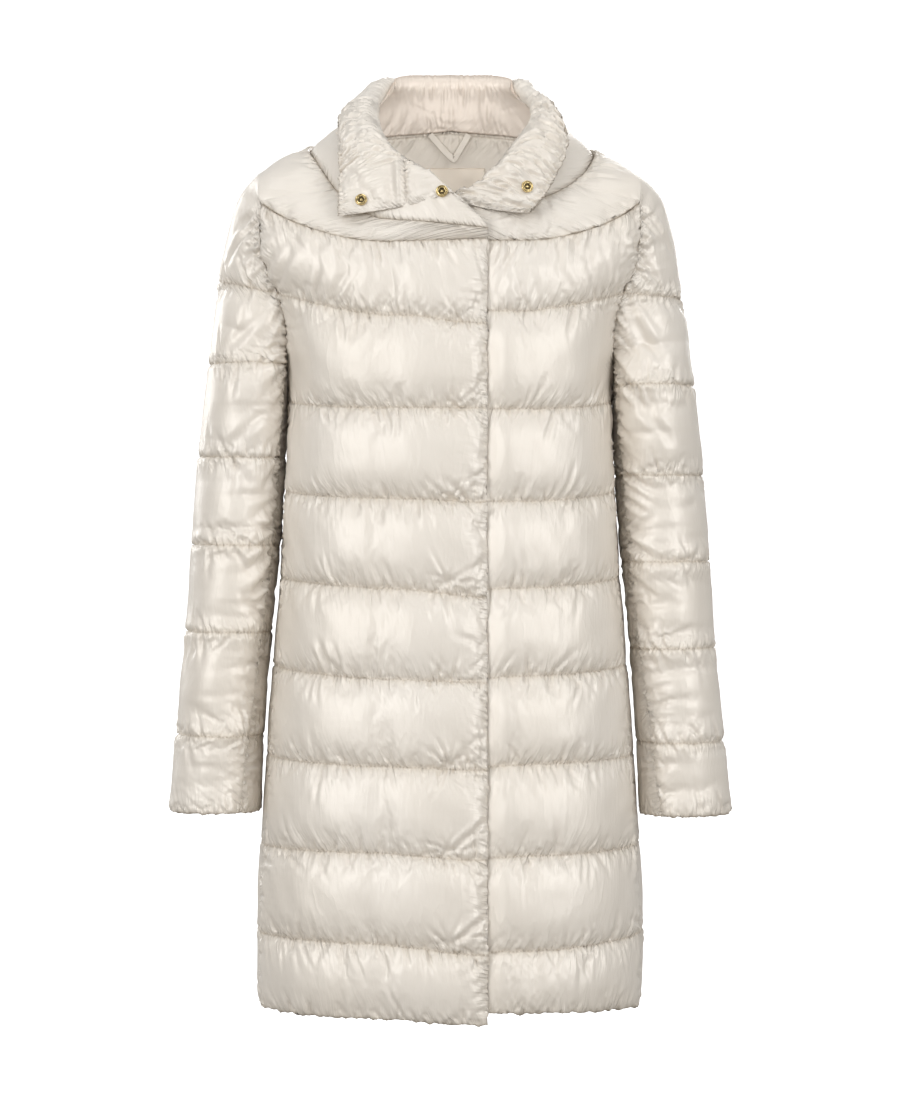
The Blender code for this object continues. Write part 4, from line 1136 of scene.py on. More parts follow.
def mathNode(tree, operation, *values):
    inputs = {"i" + str(k): value for k, value in enumerate(values)}
    return addNode(tree, "Math", {"operation": operation}, **inputs).outputs[0]


def attributeNode(tree, name, output="Fac"):
    return addNode(tree, "Attribute", {"attribute_name": name}).outputs[output]


def noiseNode(tree, place, scale, detail, **more):
    return addNode(tree, "TexNoise", Vector=place, Scale=scale, Detail=detail, **more).outputs[0]


def mixNode(tree, factor, first, second):
    return addNode(tree, "MixRGB", Fac=factor, Color1=first, Color2=second).outputs[0]


def bumpNode(tree, height, distance, strength=1.0, **more):
    return addNode(tree, "Bump", Height=height, Distance=distance, Strength=strength, **more).outputs[0]


def toneRamp(tree, factor, tones):
    # a colour ramp, which has two stops to begin with
    ramp = addNode(tree, "ValToRGB", Fac=factor)
    stops = ramp.color_ramp.elements
    for k, (position, tone) in enumerate(tones):
        stop = stops[k] if k < 2 else stops.new(position)
        stop.position, stop.color = position, (*tone, 1)
    return ramp.outputs[0]


puckerPattern = {
    "swayScale": 16.0,
    "sway": 0.030,
    "scale": 0.55,
    "sharpness": 7.0,
    "columnShift": 7.3,         # keeps the puckers of the sides unlike those of the rows
}


def makePuckerGroup():
    # sharp small puckers that run off the seams, from the cloth's own coordinates
    group, given, result = newGroup("seamPuckers", [("Pitch", "Float", 0.005), ("Reach", "Float", 0.16),
                                                    ("Slant", "Float", 0.25)], [("Height", "Float")])
    place = attributeNode(group, "clothPlace", "Vector")
    parts = addNode(group, "SeparateXYZ", Vector=place)
    across, down = parts.outputs[0], parts.outputs[1]
    drift = noiseNode(group, place, puckerPattern["swayScale"], 1.0)
    sway = mathNode(group, "MULTIPLY", mathNode(group, "SUBTRACT", drift, 0.5), puckerPattern["sway"])
    scale = mathNode(group, "DIVIDE", 1.0, given.outputs["Pitch"])
    rowWays = (across, down, "nearRow", 0.0)
    columnWays = (down, across, "nearColumn", puckerPattern["columnShift"])
    heights = []
    for main, other, near, shift in (rowWays, columnWays):
        slanted = mathNode(group, "ADD", mathNode(group, "MULTIPLY", other, given.outputs["Slant"]), main)
        swayed = mathNode(group, "ADD", slanted, sway)
        stretched = mathNode(group, "MULTIPLY", other, given.outputs["Reach"])
        vector = addNode(group, "CombineXYZ", X=swayed, Y=stretched, Z=shift).outputs[0]
        scaled = addNode(group, "VectorMath", {"operation": "SCALE"}, i0=vector, Scale=scale).outputs[0]
        noise = noiseNode(group, scaled, puckerPattern["scale"], 2.0, Roughness=0.55)
        ridge = mathNode(group, "ABSOLUTE", mathNode(group, "SUBTRACT", noise, 0.5))
        sharp = mathNode(group, "MULTIPLY", ridge, puckerPattern["sharpness"])
        clipped = mathNode(group, "MAXIMUM", mathNode(group, "SUBTRACT", 1.0, sharp), 0.0)
        heights.append(mathNode(group, "MULTIPLY", clipped, attributeNode(group, near)))
    group.links.new(mathNode(group, "ADD", *heights), result.inputs["Height"])
    return group


crinklePattern = {
    "turn": 0.55,               # radians
    "stretch": 0.22,
    "warpScale": 9.0,
    "warp": 0.03,
    "sharpness": 8.0,
}


def makeCrinkleGroup():
    # long shallow silky creases and a fine plain weave
    group, given, result = newGroup("silkyCrinkle", [("Size", "Float", 60.0), ("Weave", "Float", 9000.0),
                                                     ("Weave Share", "Float", 0.03)], [("Height", "Float")])
    place = attributeNode(group, "clothPlace", "Vector")
    mapping = addNode(group, "Mapping", Vector=place, Rotation=(0, 0, crinklePattern["turn"]),
                      Scale=(1.0, crinklePattern["stretch"], 1.0)).outputs[0]
    warp = addNode(group, "TexNoise", Vector=place, Scale=crinklePattern["warpScale"], Detail=1.0)
    amount = (crinklePattern["warp"], crinklePattern["warp"], 0.0)
    bent = addNode(group, "VectorMath", {"operation": "MULTIPLY_ADD"}, i0=warp.outputs["Color"], i1=amount,
                   i2=mapping)
    noise = noiseNode(group, bent.outputs[0], given.outputs["Size"], 3.0, Roughness=0.5)
    ridge = mathNode(group, "ABSOLUTE", mathNode(group, "SUBTRACT", noise, 0.5))
    crease = mathNode(group, "POWER", mathNode(group, "SUBTRACT", 1.0, ridge), crinklePattern["sharpness"])
    parts = addNode(group, "SeparateXYZ", Vector=place)
    threads = []
    for part in (parts.outputs[0], parts.outputs[1]):
        threads.append(mathNode(group, "SINE", mathNode(group, "MULTIPLY", part, given.outputs["Weave"])))
    weave = mathNode(group, "MULTIPLY", mathNode(group, "MULTIPLY", *threads), given.outputs["Weave Share"])
    group.links.new(mathNode(group, "ADD", crease, weave), result.inputs["Height"])
    return group


# the random tone's spread, and how the painted seam shade and the painted line of shade fade from the seams
toneShadePattern = {"spread": 0.6, "seamShadeFade": 3.0, "shadeLineFade": 16.0, "line": 0.75}


def makeDriftGroup():
    # two close tones that differ at random over the cloth, painted shade that darkens it towards the stitched
    # rows and edges, and a painted dark line of shade along the stitched grooves
    white, black = (1, 1, 1, 1), (0, 0, 0, 1)
    inputs = [("Light", "Color", white), ("Dark", "Color", black), ("Stitched", "Color", black),
              ("Size", "Float", 7.0), ("Seam", "Float", 0.5)]
    group, given, result = newGroup("toneDriftSeamShade", inputs, [("Color", "Color")])
    place = addNode(group, "TexCoord").outputs["Object"]
    noise = noiseNode(group, place, given.outputs["Size"], 2.0)
    nearRow = attributeNode(group, "nearRow")
    # painted shade: the cloth turns to the dark tone towards its stitched rows and edges
    faded = mathNode(group, "POWER", nearRow, toneShadePattern["seamShadeFade"])
    seam = mathNode(group, "MULTIPLY", faded, given.outputs["Seam"])
    tone = mathNode(group, "ADD", mathNode(group, "MULTIPLY", noise, toneShadePattern["spread"]), seam)
    mask = addNode(group, "Clamp", Value=tone).outputs[0]
    mix = mixNode(group, mask, given.outputs["Light"], given.outputs["Dark"])
    # a narrow painted line of shade in the stitched grooves
    narrow = mathNode(group, "POWER", nearRow, toneShadePattern["shadeLineFade"])
    line = mathNode(group, "MULTIPLY", narrow, toneShadePattern["line"])
    group.links.new(mixNode(group, line, mix, given.outputs["Stitched"]), result.inputs["Color"])
    return group


puckerGroup, crinkleGroup, toneAndSeamShadeGroup = makePuckerGroup(), makeCrinkleGroup(), makeDriftGroup()


def placeGroup(tree, group, **values):
    node = tree.nodes.new("ShaderNodeGroup")
    node.node_tree = group
    for key, value in values.items():
        node.inputs[key.replace("_", " ")].default_value = value
    return node


def clothMaterial(finish):
    metallic = finish.get("metallic", 0.0)
    material, shader = newMaterial(finish["name"], finish["light"], finish["roughness"], metallic)
    tree = material.node_tree
    # dark is also the painted seam shade, and stitched is the painted line of shade in the stitched grooves
    light, dark, stitched = ((*finish[tone], 1) for tone in ("light", "dark", "stitched"))
    tone = placeGroup(tree, toneAndSeamShadeGroup, Light=light, Dark=dark, Stitched=stitched, Seam=finish["seamShade"])
    tree.links.new(tone.outputs["Color"], shader.inputs["Base Color"])
    puckers = placeGroup(tree, puckerGroup, Pitch=finish["pitch"])
    crinkle = placeGroup(tree, crinkleGroup, Size=finish["creaseSize"])
    first = bumpNode(tree, crinkle.outputs["Height"], finish["creaseDepth"])
    second = bumpNode(tree, puckers.outputs["Height"], finish["puckerDepth"], Normal=first)
    tree.links.new(second, shader.inputs["Normal"])
    shader.inputs["Coat Weight"].default_value = finish.get("coat", 0.0)
    shader.inputs["Coat Roughness"].default_value = finish.get("coatRoughness", 0.3)
    return material


# dark is both a random tone and the painted seam shade; stitched is a painted line of shade along the
# stitched grooves
shellFinish = {
    "name": "champagneNylon",
    "light": (0.815, 0.770, 0.708),
    "dark": (0.720, 0.648, 0.548),
    "stitched": (0.42, 0.35, 0.27),
    "seamShade": 0.5,
    "roughness": 0.45,
    "metallic": 0.12,
    "coat": 0.36,
    "coatRoughness": 0.30,
    "pitch": 0.0050,
    "puckerDepth": 0.0014,
    "creaseSize": 45.0,
    "creaseDepth": 0.00035,
}
# their dark and stitched tones are also painted shade towards their seams and edges
liningFinish = {"name": "pinkishLining", "light": (0.79, 0.705, 0.625), "dark": (0.73, 0.64, 0.55),
                "stitched": (0.66, 0.53, 0.43), "seamShade": 0.5, "roughness": 0.42, "metallic": 0.15,
                "pitch": 0.006, "puckerDepth": 0.0004, "creaseSize": 30.0, "creaseDepth": 0.00008}
facingFinish = {"name": "greyishFacing", "light": (0.71, 0.655, 0.58), "dark": (0.62, 0.56, 0.48),
                "stitched": (0.46, 0.39, 0.31), "seamShade": 0.5, "roughness": 0.45, "metallic": 0.15,
                "pitch": 0.006, "puckerDepth": 0.0006, "creaseSize": 30.0, "creaseDepth": 0.0004}
patchFinish = {"name": "peachPatch", "light": (0.97, 0.88, 0.76), "dark": (0.94, 0.83, 0.70),
               "stitched": (0.60, 0.47, 0.35), "seamShade": 0.2, "roughness": 0.6,
               "pitch": 0.004, "puckerDepth": 0.0001, "creaseSize": 60.0, "creaseDepth": 0.0001}
threadFinish = {"name": "paleThread", "light": (0.84, 0.78, 0.69), "dark": (0.70, 0.62, 0.51),
                "roughness": 0.55, "size": 1500.0}
goldFinish = {"name": "goldSnap", "bright": (0.64, 0.50, 0.25), "hollowTone": (0.10, 0.075, 0.035),
              "roughness": 0.20, "grainSize": 900.0, "grainDepth": 0.00012, "grainStrength": 0.6}
# the gold's tones from a snap's middle to its rim
goldTones = ((0.16, "bright"), (0.28, "hollowTone"), (0.50, "hollowTone"), (0.62, "bright"), (0.70, "bright"),
             (0.76, "hollowTone"), (0.84, "bright"))


def goldMaterial(finish):
    # bright middle, raised ring and rim, and near-black in the hollow ring and the groove between them
    material, shader = newMaterial(finish["name"], finish["bright"], finish["roughness"], 1.0)
    tree = material.node_tree
    tones = [(position, finish[tone]) for position, tone in goldTones]
    tree.links.new(toneRamp(tree, attributeNode(tree, "fromMiddle"), tones), shader.inputs["Base Color"])
    noise = noiseNode(tree, addNode(tree, "TexCoord").outputs["Object"], finish["grainSize"], 2.0)
    bump = bumpNode(tree, noise, finish["grainDepth"], finish["grainStrength"])
    tree.links.new(bump, shader.inputs["Normal"])
    return material


roughDrift = {"spread": 0.15, "lower": 0.07}


def plainMaterial(finish):
    # two tones and a roughness that wander over the surface
    material, shader = newMaterial(finish["name"], finish["light"], finish["roughness"])
    tree = material.node_tree
    noise = noiseNode(tree, addNode(tree, "TexCoord").outputs["Object"], finish["size"], 2.0)
    mix = mixNode(tree, noise, (*finish["light"], 1), (*finish["dark"], 1))
    tree.links.new(mix, shader.inputs["Base Color"])
    lowest = finish["roughness"] - roughDrift["lower"]
    rough = mathNode(tree, "MULTIPLY_ADD", noise, roughDrift["spread"], lowest)
    tree.links.new(rough, shader.inputs["Roughness"])
    return material


shell = clothMaterial(shellFinish)
lining = clothMaterial(liningFinish)
facing = clothMaterial(facingFinish)
patch = clothMaterial(patchFinish)
gold = goldMaterial(goldFinish)
thread = plainMaterial(threadFinish)

# the body's sides, where the sleeves lie against them: degrees from the middle, and heights
sideMake = {
    "from": 55,
    "fade": 20,
    "top": -0.222,
    "drop": 0.035,
    "pressFrom": 52,
    "pressFade": 18,
    "pressTop": -0.10,
    "pressDrop": 0.05,
    "lowTop": -0.225,
    "lowDrop": 0.12,
    "lapOver": 0.006,           # the left front is pressed flat up to here beyond the right one's edge
    "lapFade": 0.026,
}


def below(z, top, drop):
    return ease((top - z) / drop)


def fromMiddle(x, y):
    return np.degrees(np.arctan2(abs(x), abs(y)))


def sideShare(points):
    # 1 at the body's sides between armhole and cuff
    x, y, z = xyz(points)
    turned = ease((fromMiddle(x, y) - sideMake["from"]) / sideMake["fade"])
    return turned * below(z, sideMake["top"], sideMake["drop"])


def bodyFullness(grid, name):
    x, y, z = xyz(grid.points)
    low = below(z, sideMake["lowTop"], sideMake["lowDrop"])
    pressed = padding["backPressed" if name == "back" else "sidePressed"]
    side = padding["pressed"] + (pressed - padding["pressed"]) * low
    turned = ease((fromMiddle(x, y) - sideMake["pressFrom"]) / sideMake["pressFade"])
    full = 1 + (side - 1) * turned * below(z, sideMake["pressTop"], sideMake["pressDrop"])
    return full * underLap(grid, name)


def underLap(grid, name):
    # where the right front lies on the left one and its yoke
    x, y, _ = xyz(grid.points)
    if not name.endswith("left"):
        return np.ones(grid.shape)
    free = ease((x - cloth["rightLap"] + sideMake["lapOver"]) / sideMake["lapFade"])
    return np.where(y < 0, padding["pressed"] + (1 - padding["pressed"]) * free, 1.0)


def bodyPanel(name, rows, flip, stitched, freeColumns=()):
    grid = Grid(rows, flip, stitched)
    fillChannels(grid, padding["bodyCrown"])
    panel = Panel(name, [grid])
    panel.fullness = panel.gather([bodyFullness(grid, name)])
    panel.wander(freeColumns)
    return panel


def makeFront(side):
    seams, stitched = channelSeams(cloth["down"])
    across = np.linspace(0, 1, acrossSteps([cloth["frontSpan"]], cloth["across"])[0] + 1)
    rows = np.array([frontRow(side, across, seam) for seam in seams])
    rows[..., 0] += side * padding["sideOut"] * sideShare(rows)
    return bodyPanel("front_" + hand(side), rows, side < 0, stitched, (0,))


def makeBack():
    seams, stitched = channelSeams(cloth["backDown"])
    across = np.linspace(0, 1, acrossSteps([cloth["backSpan"]], cloth["backAcross"])[0] + 1)
    rows = [np.concatenate((backRow(-1, across, seam)[::-1], backRow(1, across, seam)[1:])) for seam in seams]
    return bodyPanel("back", rows, True, stitched)


yokeParts = {"front": 0.150, "shoulder": 0.200, "back": 0.150, "down": 0.075}


def yokeSteps():
    return acrossSteps([yokeParts["front"], yokeParts["shoulder"], yokeParts["back"]], cloth["across"])


def makeSleeve(side):
    frontSteps, shoulderSteps, backSteps = yokeSteps()
    shoulder = np.linspace(-1, 1, shoulderSteps + 1)
    knots = sleeveKnots(side)
    topRow = sleeveRow(side, knots, 0.0, shoulder)
    front = frontRow(side, np.linspace(0, 1, frontSteps + 1), 1.0)
    back = backRow(side, np.linspace(0, 1, backSteps + 1), 1.0)[::-1]
    lower = np.concatenate((front[:-1], topRow, back[1:]))
    upper = collarLines(side, neckAngles(side, (frontSteps, shoulderSteps, backSteps)))[0]
    down = evenSteps([yokeParts["down"]], cloth["down"])[0]
    yoke = Grid([upper + (lower - upper) * part for part in np.linspace(0, 1, down + 1)], side < 0, [0])
    outerLine = np.array([sleeveRow(side, knots, row, np.zeros(1))[0] for row in knots["row"]])
    steps = evenSteps(np.linalg.norm(np.diff(outerLine, axis=0), axis=1), cloth["down"])
    quilted = [int(start) for start in runningSum(steps)[cloth["sleeveRows"]::cloth["sleeveRows"]]]
    rows = [sleeveRow(side, knots, row, shoulder) for row in spread(knots["row"], steps)]
    arm = Grid(rows, side < 0, quilted)
    swellByDistance(yoke, arm, frontSteps, shoulderSteps)
    panel = Panel("sleeve_" + hand(side), [yoke, arm])
    panel.pins[panel.ids[0][-1, :frontSteps + 1]] = True
    panel.pins[panel.ids[0][-1, frontSteps + shoulderSteps:]] = True
    panel.fullness = panel.gather([underLap(grid, panel.name) for grid in (yoke, arm)])
    panel.wander()
    panel.parts = (frontSteps, shoulderSteps, down)
    return panel


def smoothed(values, passes, share=1.0):
    values = values.copy()
    for _ in range(passes):
        around = (values[:-2, 1:-1] + values[2:, 1:-1] + values[1:-1, :-2] + values[1:-1, 2:]) / 4
        values[1:-1, 1:-1] += (around - values[1:-1, 1:-1]) * padding["evening"] * share
    return values


def swellByDistance(yoke, arm, frontSteps, shoulderSteps):
    # the yoke and the sleeve swell by their distance to the nearest seam
    lines = [yoke.points[0], yoke.points[:, 0], yoke.points[:, -1], yoke.points[-1, :frontSteps + 1],
             yoke.points[-1, frontSteps + shoulderSteps:], arm.points[:, 0], arm.points[:, -1]]
    lines += [arm.points[i] for i in arm.stitched]
    seams = np.concatenate(lines)
    tree = KDTree(len(seams))
    for k, point in enumerate(seams):
        tree.insert(point, k)
    tree.balance()
    for grid in (yoke, arm):
        flat = grid.points.reshape(-1, 3)
        distance = np.array([tree.find(point)[2] for point in flat]).reshape(grid.shape)
        near = np.clip(distance[1:-1, 1:-1] / padding["sleeveEven"], 0, 1)
        full = padding["sleeveCrown"] * crown(distance / padding["sleeveReach"])
        grid.height = smoothed(full, padding["evenPasses"], near)


# the lower under-sleeve stands a little in towards the body
armIn = {"amount": 0.0010, "top": -0.24, "drop": 0.05, "lowTop": -0.44, "lowDrop": 0.12}


def makeUnderSleeve(side):
    knots = np.array([cloth["pitTop"], *sleeveQuilt[hand(side)][1:]])
    steps = evenSteps(-np.diff(knots), cloth["down"])
    across = np.linspace(-1, 1, acrossSteps([cloth["underSpan"]], cloth["across"])[0] + 1)
    rows = np.array([underRow(side, z, across) for z in spread(knots, steps)])
    middle = (1 - across**2)[None, :] * below(rows[..., 2], armIn["top"], armIn["drop"])
    lower = armIn["amount"] * below(rows[..., 2], armIn["lowTop"], armIn["lowDrop"])
    rows[..., 0] -= side * lower * middle
    grid = Grid(rows, side > 0, runningSum(steps))
    fillChannels(grid, padding["underCrown"])
    panel = Panel("undersleeve_" + hand(side), [grid])
    panel.fullness[:] = padding["underFull"]
    panel.wander()
    return panel


snaps = readTable("""
    x        z
   -0.0895  -0.0470
    0.0775  -0.0340
   -0.0080  -0.0400
""")
collarMake = {
    "spans": (0.140, 0.085, 0.090),     # mean lengths at the front, the shoulder and the back
    "down": 0.0020,
    "across": 0.0011,
    "outGap": 0.0012,
    "wallIn": 0.0008,
    "pinnedUpTo": 2,            # places in the collar's section
    "underUpTo": 3,
    "foldAt": 4,
    "halfWidth": 0.026,         # full padding this far from the edges
    "liningFrom": 104.0,        # degrees of the neck seam
    "underCrown": 0.0055,       # the padding of the stand's outside
    "underLow": 0.7,
    "underFront": 0.15,
    "underFrom": 20,
    "underFade": 30,
    "underFolds": (12, 0.014, 0.050, 0.0010),
    "spare": 0.05,
    "snapRadius": 0.006,
    "snapFade": 0.012,
    "snapPressed": 0.45,
    "snapFlat": 0.008,          # its folds are flat round a snap
}


def offSnaps(grid, fade):
    # 0 at the snaps and 1 away from them
    x, y, z = xyz(grid.points)
    share = np.ones(grid.shape)
    for snapX, snapZ in zip(snaps["x"], snaps["z"]):
        away = np.hypot(x - snapX, z - snapZ) - collarMake["snapRadius"]
        share *= np.where(y < 0, ease(away / fade), 1)
    return share


def makeCollar():
    steps = acrossSteps(collarMake["spans"], collarMake["across"])
    rightAngles, leftAngles = neckAngles(-1, steps), neckAngles(1, steps)
    right, left = collarSection(-1, rightAngles), collarSection(1, leftAngles)
    coarse = np.concatenate((right, left[:, ::-1][:, 1:]), axis=1)
    lengths = np.linalg.norm(np.diff(coarse, axis=0), axis=-1).mean(axis=1)
    down = evenSteps(lengths, collarMake["down"])
    points = throughRows(coarse, down)
    starts = runningSum(down)
    padded, freedom = (np.interp(np.arange(len(points)), starts, collarProfile[name])[:, None]
                       for name in ("padding", "freedom"))
    grid = Grid(points, True, [0])
    fromEdge = grid.down[-1] - grid.down
    nearest = np.minimum(np.minimum(grid.down, fromEdge), grid.fromSides())
    grid.height = padding["collarCrown"] * crown(nearest / collarMake["halfWidth"]) * padded
    panel = Panel("collar", [grid])
    panel.spare = collarMake["spare"]
    pressed, away = collarMake["snapPressed"], offSnaps(grid, collarMake["snapFade"])
    panel.fullness = panel.gather([freedom * (pressed + (1 - pressed) * away)])
    for row in range(int(starts[collarMake["pinnedUpTo"]])):
        panel.pins[panel.ids[0][row]] = True
    panel.wander()
    panel.fold = int(starts[collarMake["foldAt"]])
    panel.angles = np.concatenate((rightAngles, leftAngles[::-1][1:]))
    # the stand's outside is softly padded above the neck seam
    part = np.clip(np.arange(len(points)) / starts[collarMake["underUpTo"]], 0, 1)[:, None]
    front = collarMake["underFront"]
    turned = ease((panel.angles - collarMake["underFrom"]) / collarMake["underFade"])
    under = collarMake["underCrown"] * np.sin(math.pi * part ** collarMake["underLow"])
    under = under * (front + (1 - front) * turned)
    folds = waves(grid, seeded(otherSeeds["collarUnder"]), *collarMake["underFolds"])
    folds *= np.sin(math.pi * part)
    panel.under = panel.gather([np.maximum(under + folds, 0)])
    return panel


# long silky folds that run from a seam into the cloth
silky = dict(pucker, pitch=0.0105, length=0.036, longest=0.075, width=0.0026, slant=0.10, clusters=0.09)
gathers = dict(pucker, pitch=0.0050, length=0.028, longest=0.048, width=0.0015, depth=0.0025, slant=0.09,
               clusters=0.045)
shoulderLift = {"x": 0.165, "reach": 0.040, "depth": 0.050, "height": 0.0050, "bottom": -0.09, "rise": 0.04}
seamLift = {"height": 0.0030, "reach": 0.012}
relief = {"body": (14, 0.030, 0.110, 0.0004), "sleeve": (12, 0.025, 0.090, 0.0004)}
# how deep the puckers are at each seam, how much they slant, and the part of it where they start or stop
puckering = {
    "frontSlant": -0.22,
    "bodySides": 1.1,
    "chest": 1.0,
    "chestSlant": -0.42,
    "chestFrom": 0.15,
    "bust": 0.6,
    "bustSlant": 0.4,
    "bustFrom": 0.5,
    "backTop": 0.9,
    "backSlant": 0.3,
    "armSlant": 0.25,
    "armSides": 1.2,
    "armFront": 1.2,
    "armBack": 1.0,
    "armTurn": 0.75,
    "yoke": 0.9,
    "underSides": 1.5,
}


def liftShoulder(grid):
    x, y, z = xyz(grid.points)
    across = np.exp(-((abs(x) - shoulderLift["x"]) / shoulderLift["reach"]) ** 2)
    depth = np.exp(-(y / shoulderLift["depth"]) ** 2)
    rise = ease((z - shoulderLift["bottom"]) / shoulderLift["rise"])
    grid.height += shoulderLift["height"] * across * depth * rise


def startRelief(panel, number, kind, random):
    # steep edges, low waves and the main creases, on top of the inflated cloth
    grid = panel.grids[number]
    grooveSeams(panel, number, groove[kind])
    if kind == "sleeve":
        liftShoulder(grid)
    grid.height += waves(grid, random, *relief[kind])
    pressCreases(grid)
    return grid


def puckerFront(panel, random, side):
    grid = startRelief(panel, 0, "body", random)
    last = grid.shape[1] - 1
    puckerQuilting(grid, random, puckering["frontSlant"])
    puckerSides(grid, random, puckering["bodySides"])
    chest = rowLine(grid, 0, int(last * puckering["chestFrom"]))
    puckerSeam(grid, random, chest, (1, 0), puckering["chest"], puckering["chestSlant"], silky)
    bust = rowLine(grid, int(grid.stitched[1]), int(last * puckering["bustFrom"]))
    puckerSeam(grid, random, bust, (-1, 0), puckering["bust"], puckering["bustSlant"], silky)
    if side < 0:
        pinch(grid, random)
    grid.height *= underLap(grid, panel.name)


def puckerBack(panel, random, _):
    grid = startRelief(panel, 0, "body", random)
    puckerQuilting(grid, random)
    puckerSeam(grid, random, rowLine(grid, 0), (1, 0), puckering["backTop"], puckering["backSlant"], silky)
    puckerSides(grid, random, puckering["bodySides"])


def puckerSleeve(panel, random, side):
    yoke, arm = (startRelief(panel, number, "sleeve", random) for number in range(2))
    frontSteps, shoulderSteps, down = panel.parts
    sides = crown(arm.fromSides() / padding["halfSide"])
    for row in arm.stitched:
        near = np.exp(-((arm.down - arm.down[row]) / seamLift["reach"]) ** 2)
        arm.height += seamLift["height"] * near * sides
    puckerQuilting(arm, random, puckering["armSlant"] * side)
    puckerSides(arm, random, puckering["armSides"])
    front = columnLine(arm, 0, 0, arm.shape[0] * 2 // 3)
    puckerSeam(arm, random, front, (0, 1), puckering["armFront"], -puckering["armTurn"], silky)
    back = columnLine(arm, -1, 0, arm.shape[0] // 2)
    puckerSeam(arm, random, back, (0, -1), puckering["armBack"], puckering["armTurn"], silky)
    backStart = frontSteps + shoulderSteps
    lower = ((down, smoothColumns(panel), frontSteps, (-1, 0)), (down, backStart, None, (-1, 0)))
    for row, start, stop, inward in (*lower, (0, frontSteps, None, (1, 0))):
        puckerSeam(yoke, random, rowLine(yoke, row, start, stop), inward, puckering["yoke"])
    yoke.height[-1, frontSteps:backStart + 1] = arm.height[0]
    for grid in (yoke, arm):
        grid.height *= underLap(grid, panel.name)


def puckerUnderSleeve(panel, random, _):
    puckerQuilting(panel.grids[0], random)
    puckerSides(panel.grids[0], random, puckering["underSides"])


def puckerPanel(panel):
    kind, _, where = panel.name.partition("_")
    add = {"front": puckerFront, "back": puckerBack, "sleeve": puckerSleeve, "undersleeve": puckerUnderSleeve,
           "collar": puckerCollar}[kind]
    add(panel, seeded(puckerSeeds[panel.name]), -1 if where == "right" else 1)
    for grid in panel.grids:
        grid.height = np.maximum(grid.height, kinds[kind]["deepest"])


# where the simulation's folds are smoothed away
smoothing = {
    "collar": 0.75,
    "bendAt": 112,              # degrees of the neck seam
    "bendWidth": 18,
    "yoke": 0.9,
    "yokeFade": 20,             # columns
    "yokePart": {"right": 0.62, "left": 0.30},
}


def steadiness(panel, part):
    # a share for every column
    if panel.name == "collar":
        return smoothing["collar"] * bendShare(panel)
    if len(panel.grids) > 1 and part == 0:
        beside = smoothColumns(panel) + smoothing["yokeFade"] - np.arange(panel.grids[0].shape[1])
        return smoothing["yoke"] * ease(beside / smoothing["yokeFade"])
    return 0.0


def smoothColumns(panel):
    # the yoke's front is smooth beside the placket
    return int(panel.parts[0] * smoothing["yokePart"][panel.name.split("_")[1]])


def bendShare(collar):
    # 1 where the band bends round the sides of the neck
    return np.exp(-((collar.angles - smoothing["bendAt"]) / smoothing["bendWidth"]) ** 4)


collarFolds = {
    "edge": 2.3,                # how deep the folds are at each line
    "edgeFine": 1.0,
    "fold": 2.0,
    "stand": 0.6,
    "middle": 1.3,
    "slant": 0.1,
    "standGap": 2,              # rows and columns kept free
    "liningGap": 10,
    "bendFlat": 0.6,
    "flapFlat": 0.80,
    "flapTop": -0.012,
    "flapDrop": 0.010,
    "sides": 1.0,
    "standSides": 0.8,
    "backLift": 0.0070,
    "backFrom": 95,
    "backFade": 20,
    "backReach": 0.014,
    "piping": (0.0012, 0.0008),     # height and distance from the edge
    "pipingGroove": (-0.0014, 0.0042),
    "pipingWidth": 0.0013,
}


def puckerCollar(collar, random, _):
    grid, fold, made = collar.grids[0], collar.fold, collarFolds
    edge, last = grid.shape[0] - 1, grid.shape[1]
    x, y, z = xyz(grid.points)
    lined = np.where(collar.angles >= collarMake["liningFrom"])[0]
    under, middle, slant = fold + made["standGap"], (fold + edge) // 2, made["slant"]
    lines = [(edge, 0, last, -1, made["edge"], 0.0, gathers),
             (edge, 0, last, -1, made["edgeFine"], slant, pucker),
             (fold, 0, last, 1, made["fold"], 0.0, gathers),
             (under, 0, lined[0], -1, made["stand"], 0.0, gathers),
             (under, lined[-1] + 1, last, -1, made["stand"], 0.0, gathers)]
    for start, stop in ((0, lined[0] - made["liningGap"]), (lined[-1] + made["liningGap"], last)):
        lines += [(middle, start, stop, down, made["middle"], slant, gathers) for down in (1, -1)]
    for row, start, stop, down, share, turn, sizes in lines:
        puckerSeam(grid, random, rowLine(grid, row, start, stop), (down, 0), share, turn, sizes)
    grid.height *= 1 - made["bendFlat"] * bendShare(collar)
    # the end of the right flap is smoother below its faint cross seam
    flap = below(z, made["flapTop"], made["flapDrop"]) * (x < 0) * (y < 0)
    grid.height *= 1 - made["flapFlat"] * flap
    grid.height *= offSnaps(grid, collarMake["snapFlat"])
    pressCreases(grid)
    puckerSides(grid, random, made["sides"], fold)
    puckerSides(grid, random, made["standSides"], 0, fold)
    # the band's back stands a little higher, and the free edge is piped
    back = ease((np.broadcast_to(collar.angles, grid.shape) - made["backFrom"]) / made["backFade"])
    fromFold = (grid.down - grid.down[fold]) / made["backReach"]
    grid.height += made["backLift"] * back * np.exp(-fromFold**2)
    fromEdge = grid.down[-1] - grid.down
    for height, place in (made["piping"], made["pipingGroove"]):
        grid.height += height * np.exp(-((fromEdge - place) / made["pipingWidth"]) ** 2)


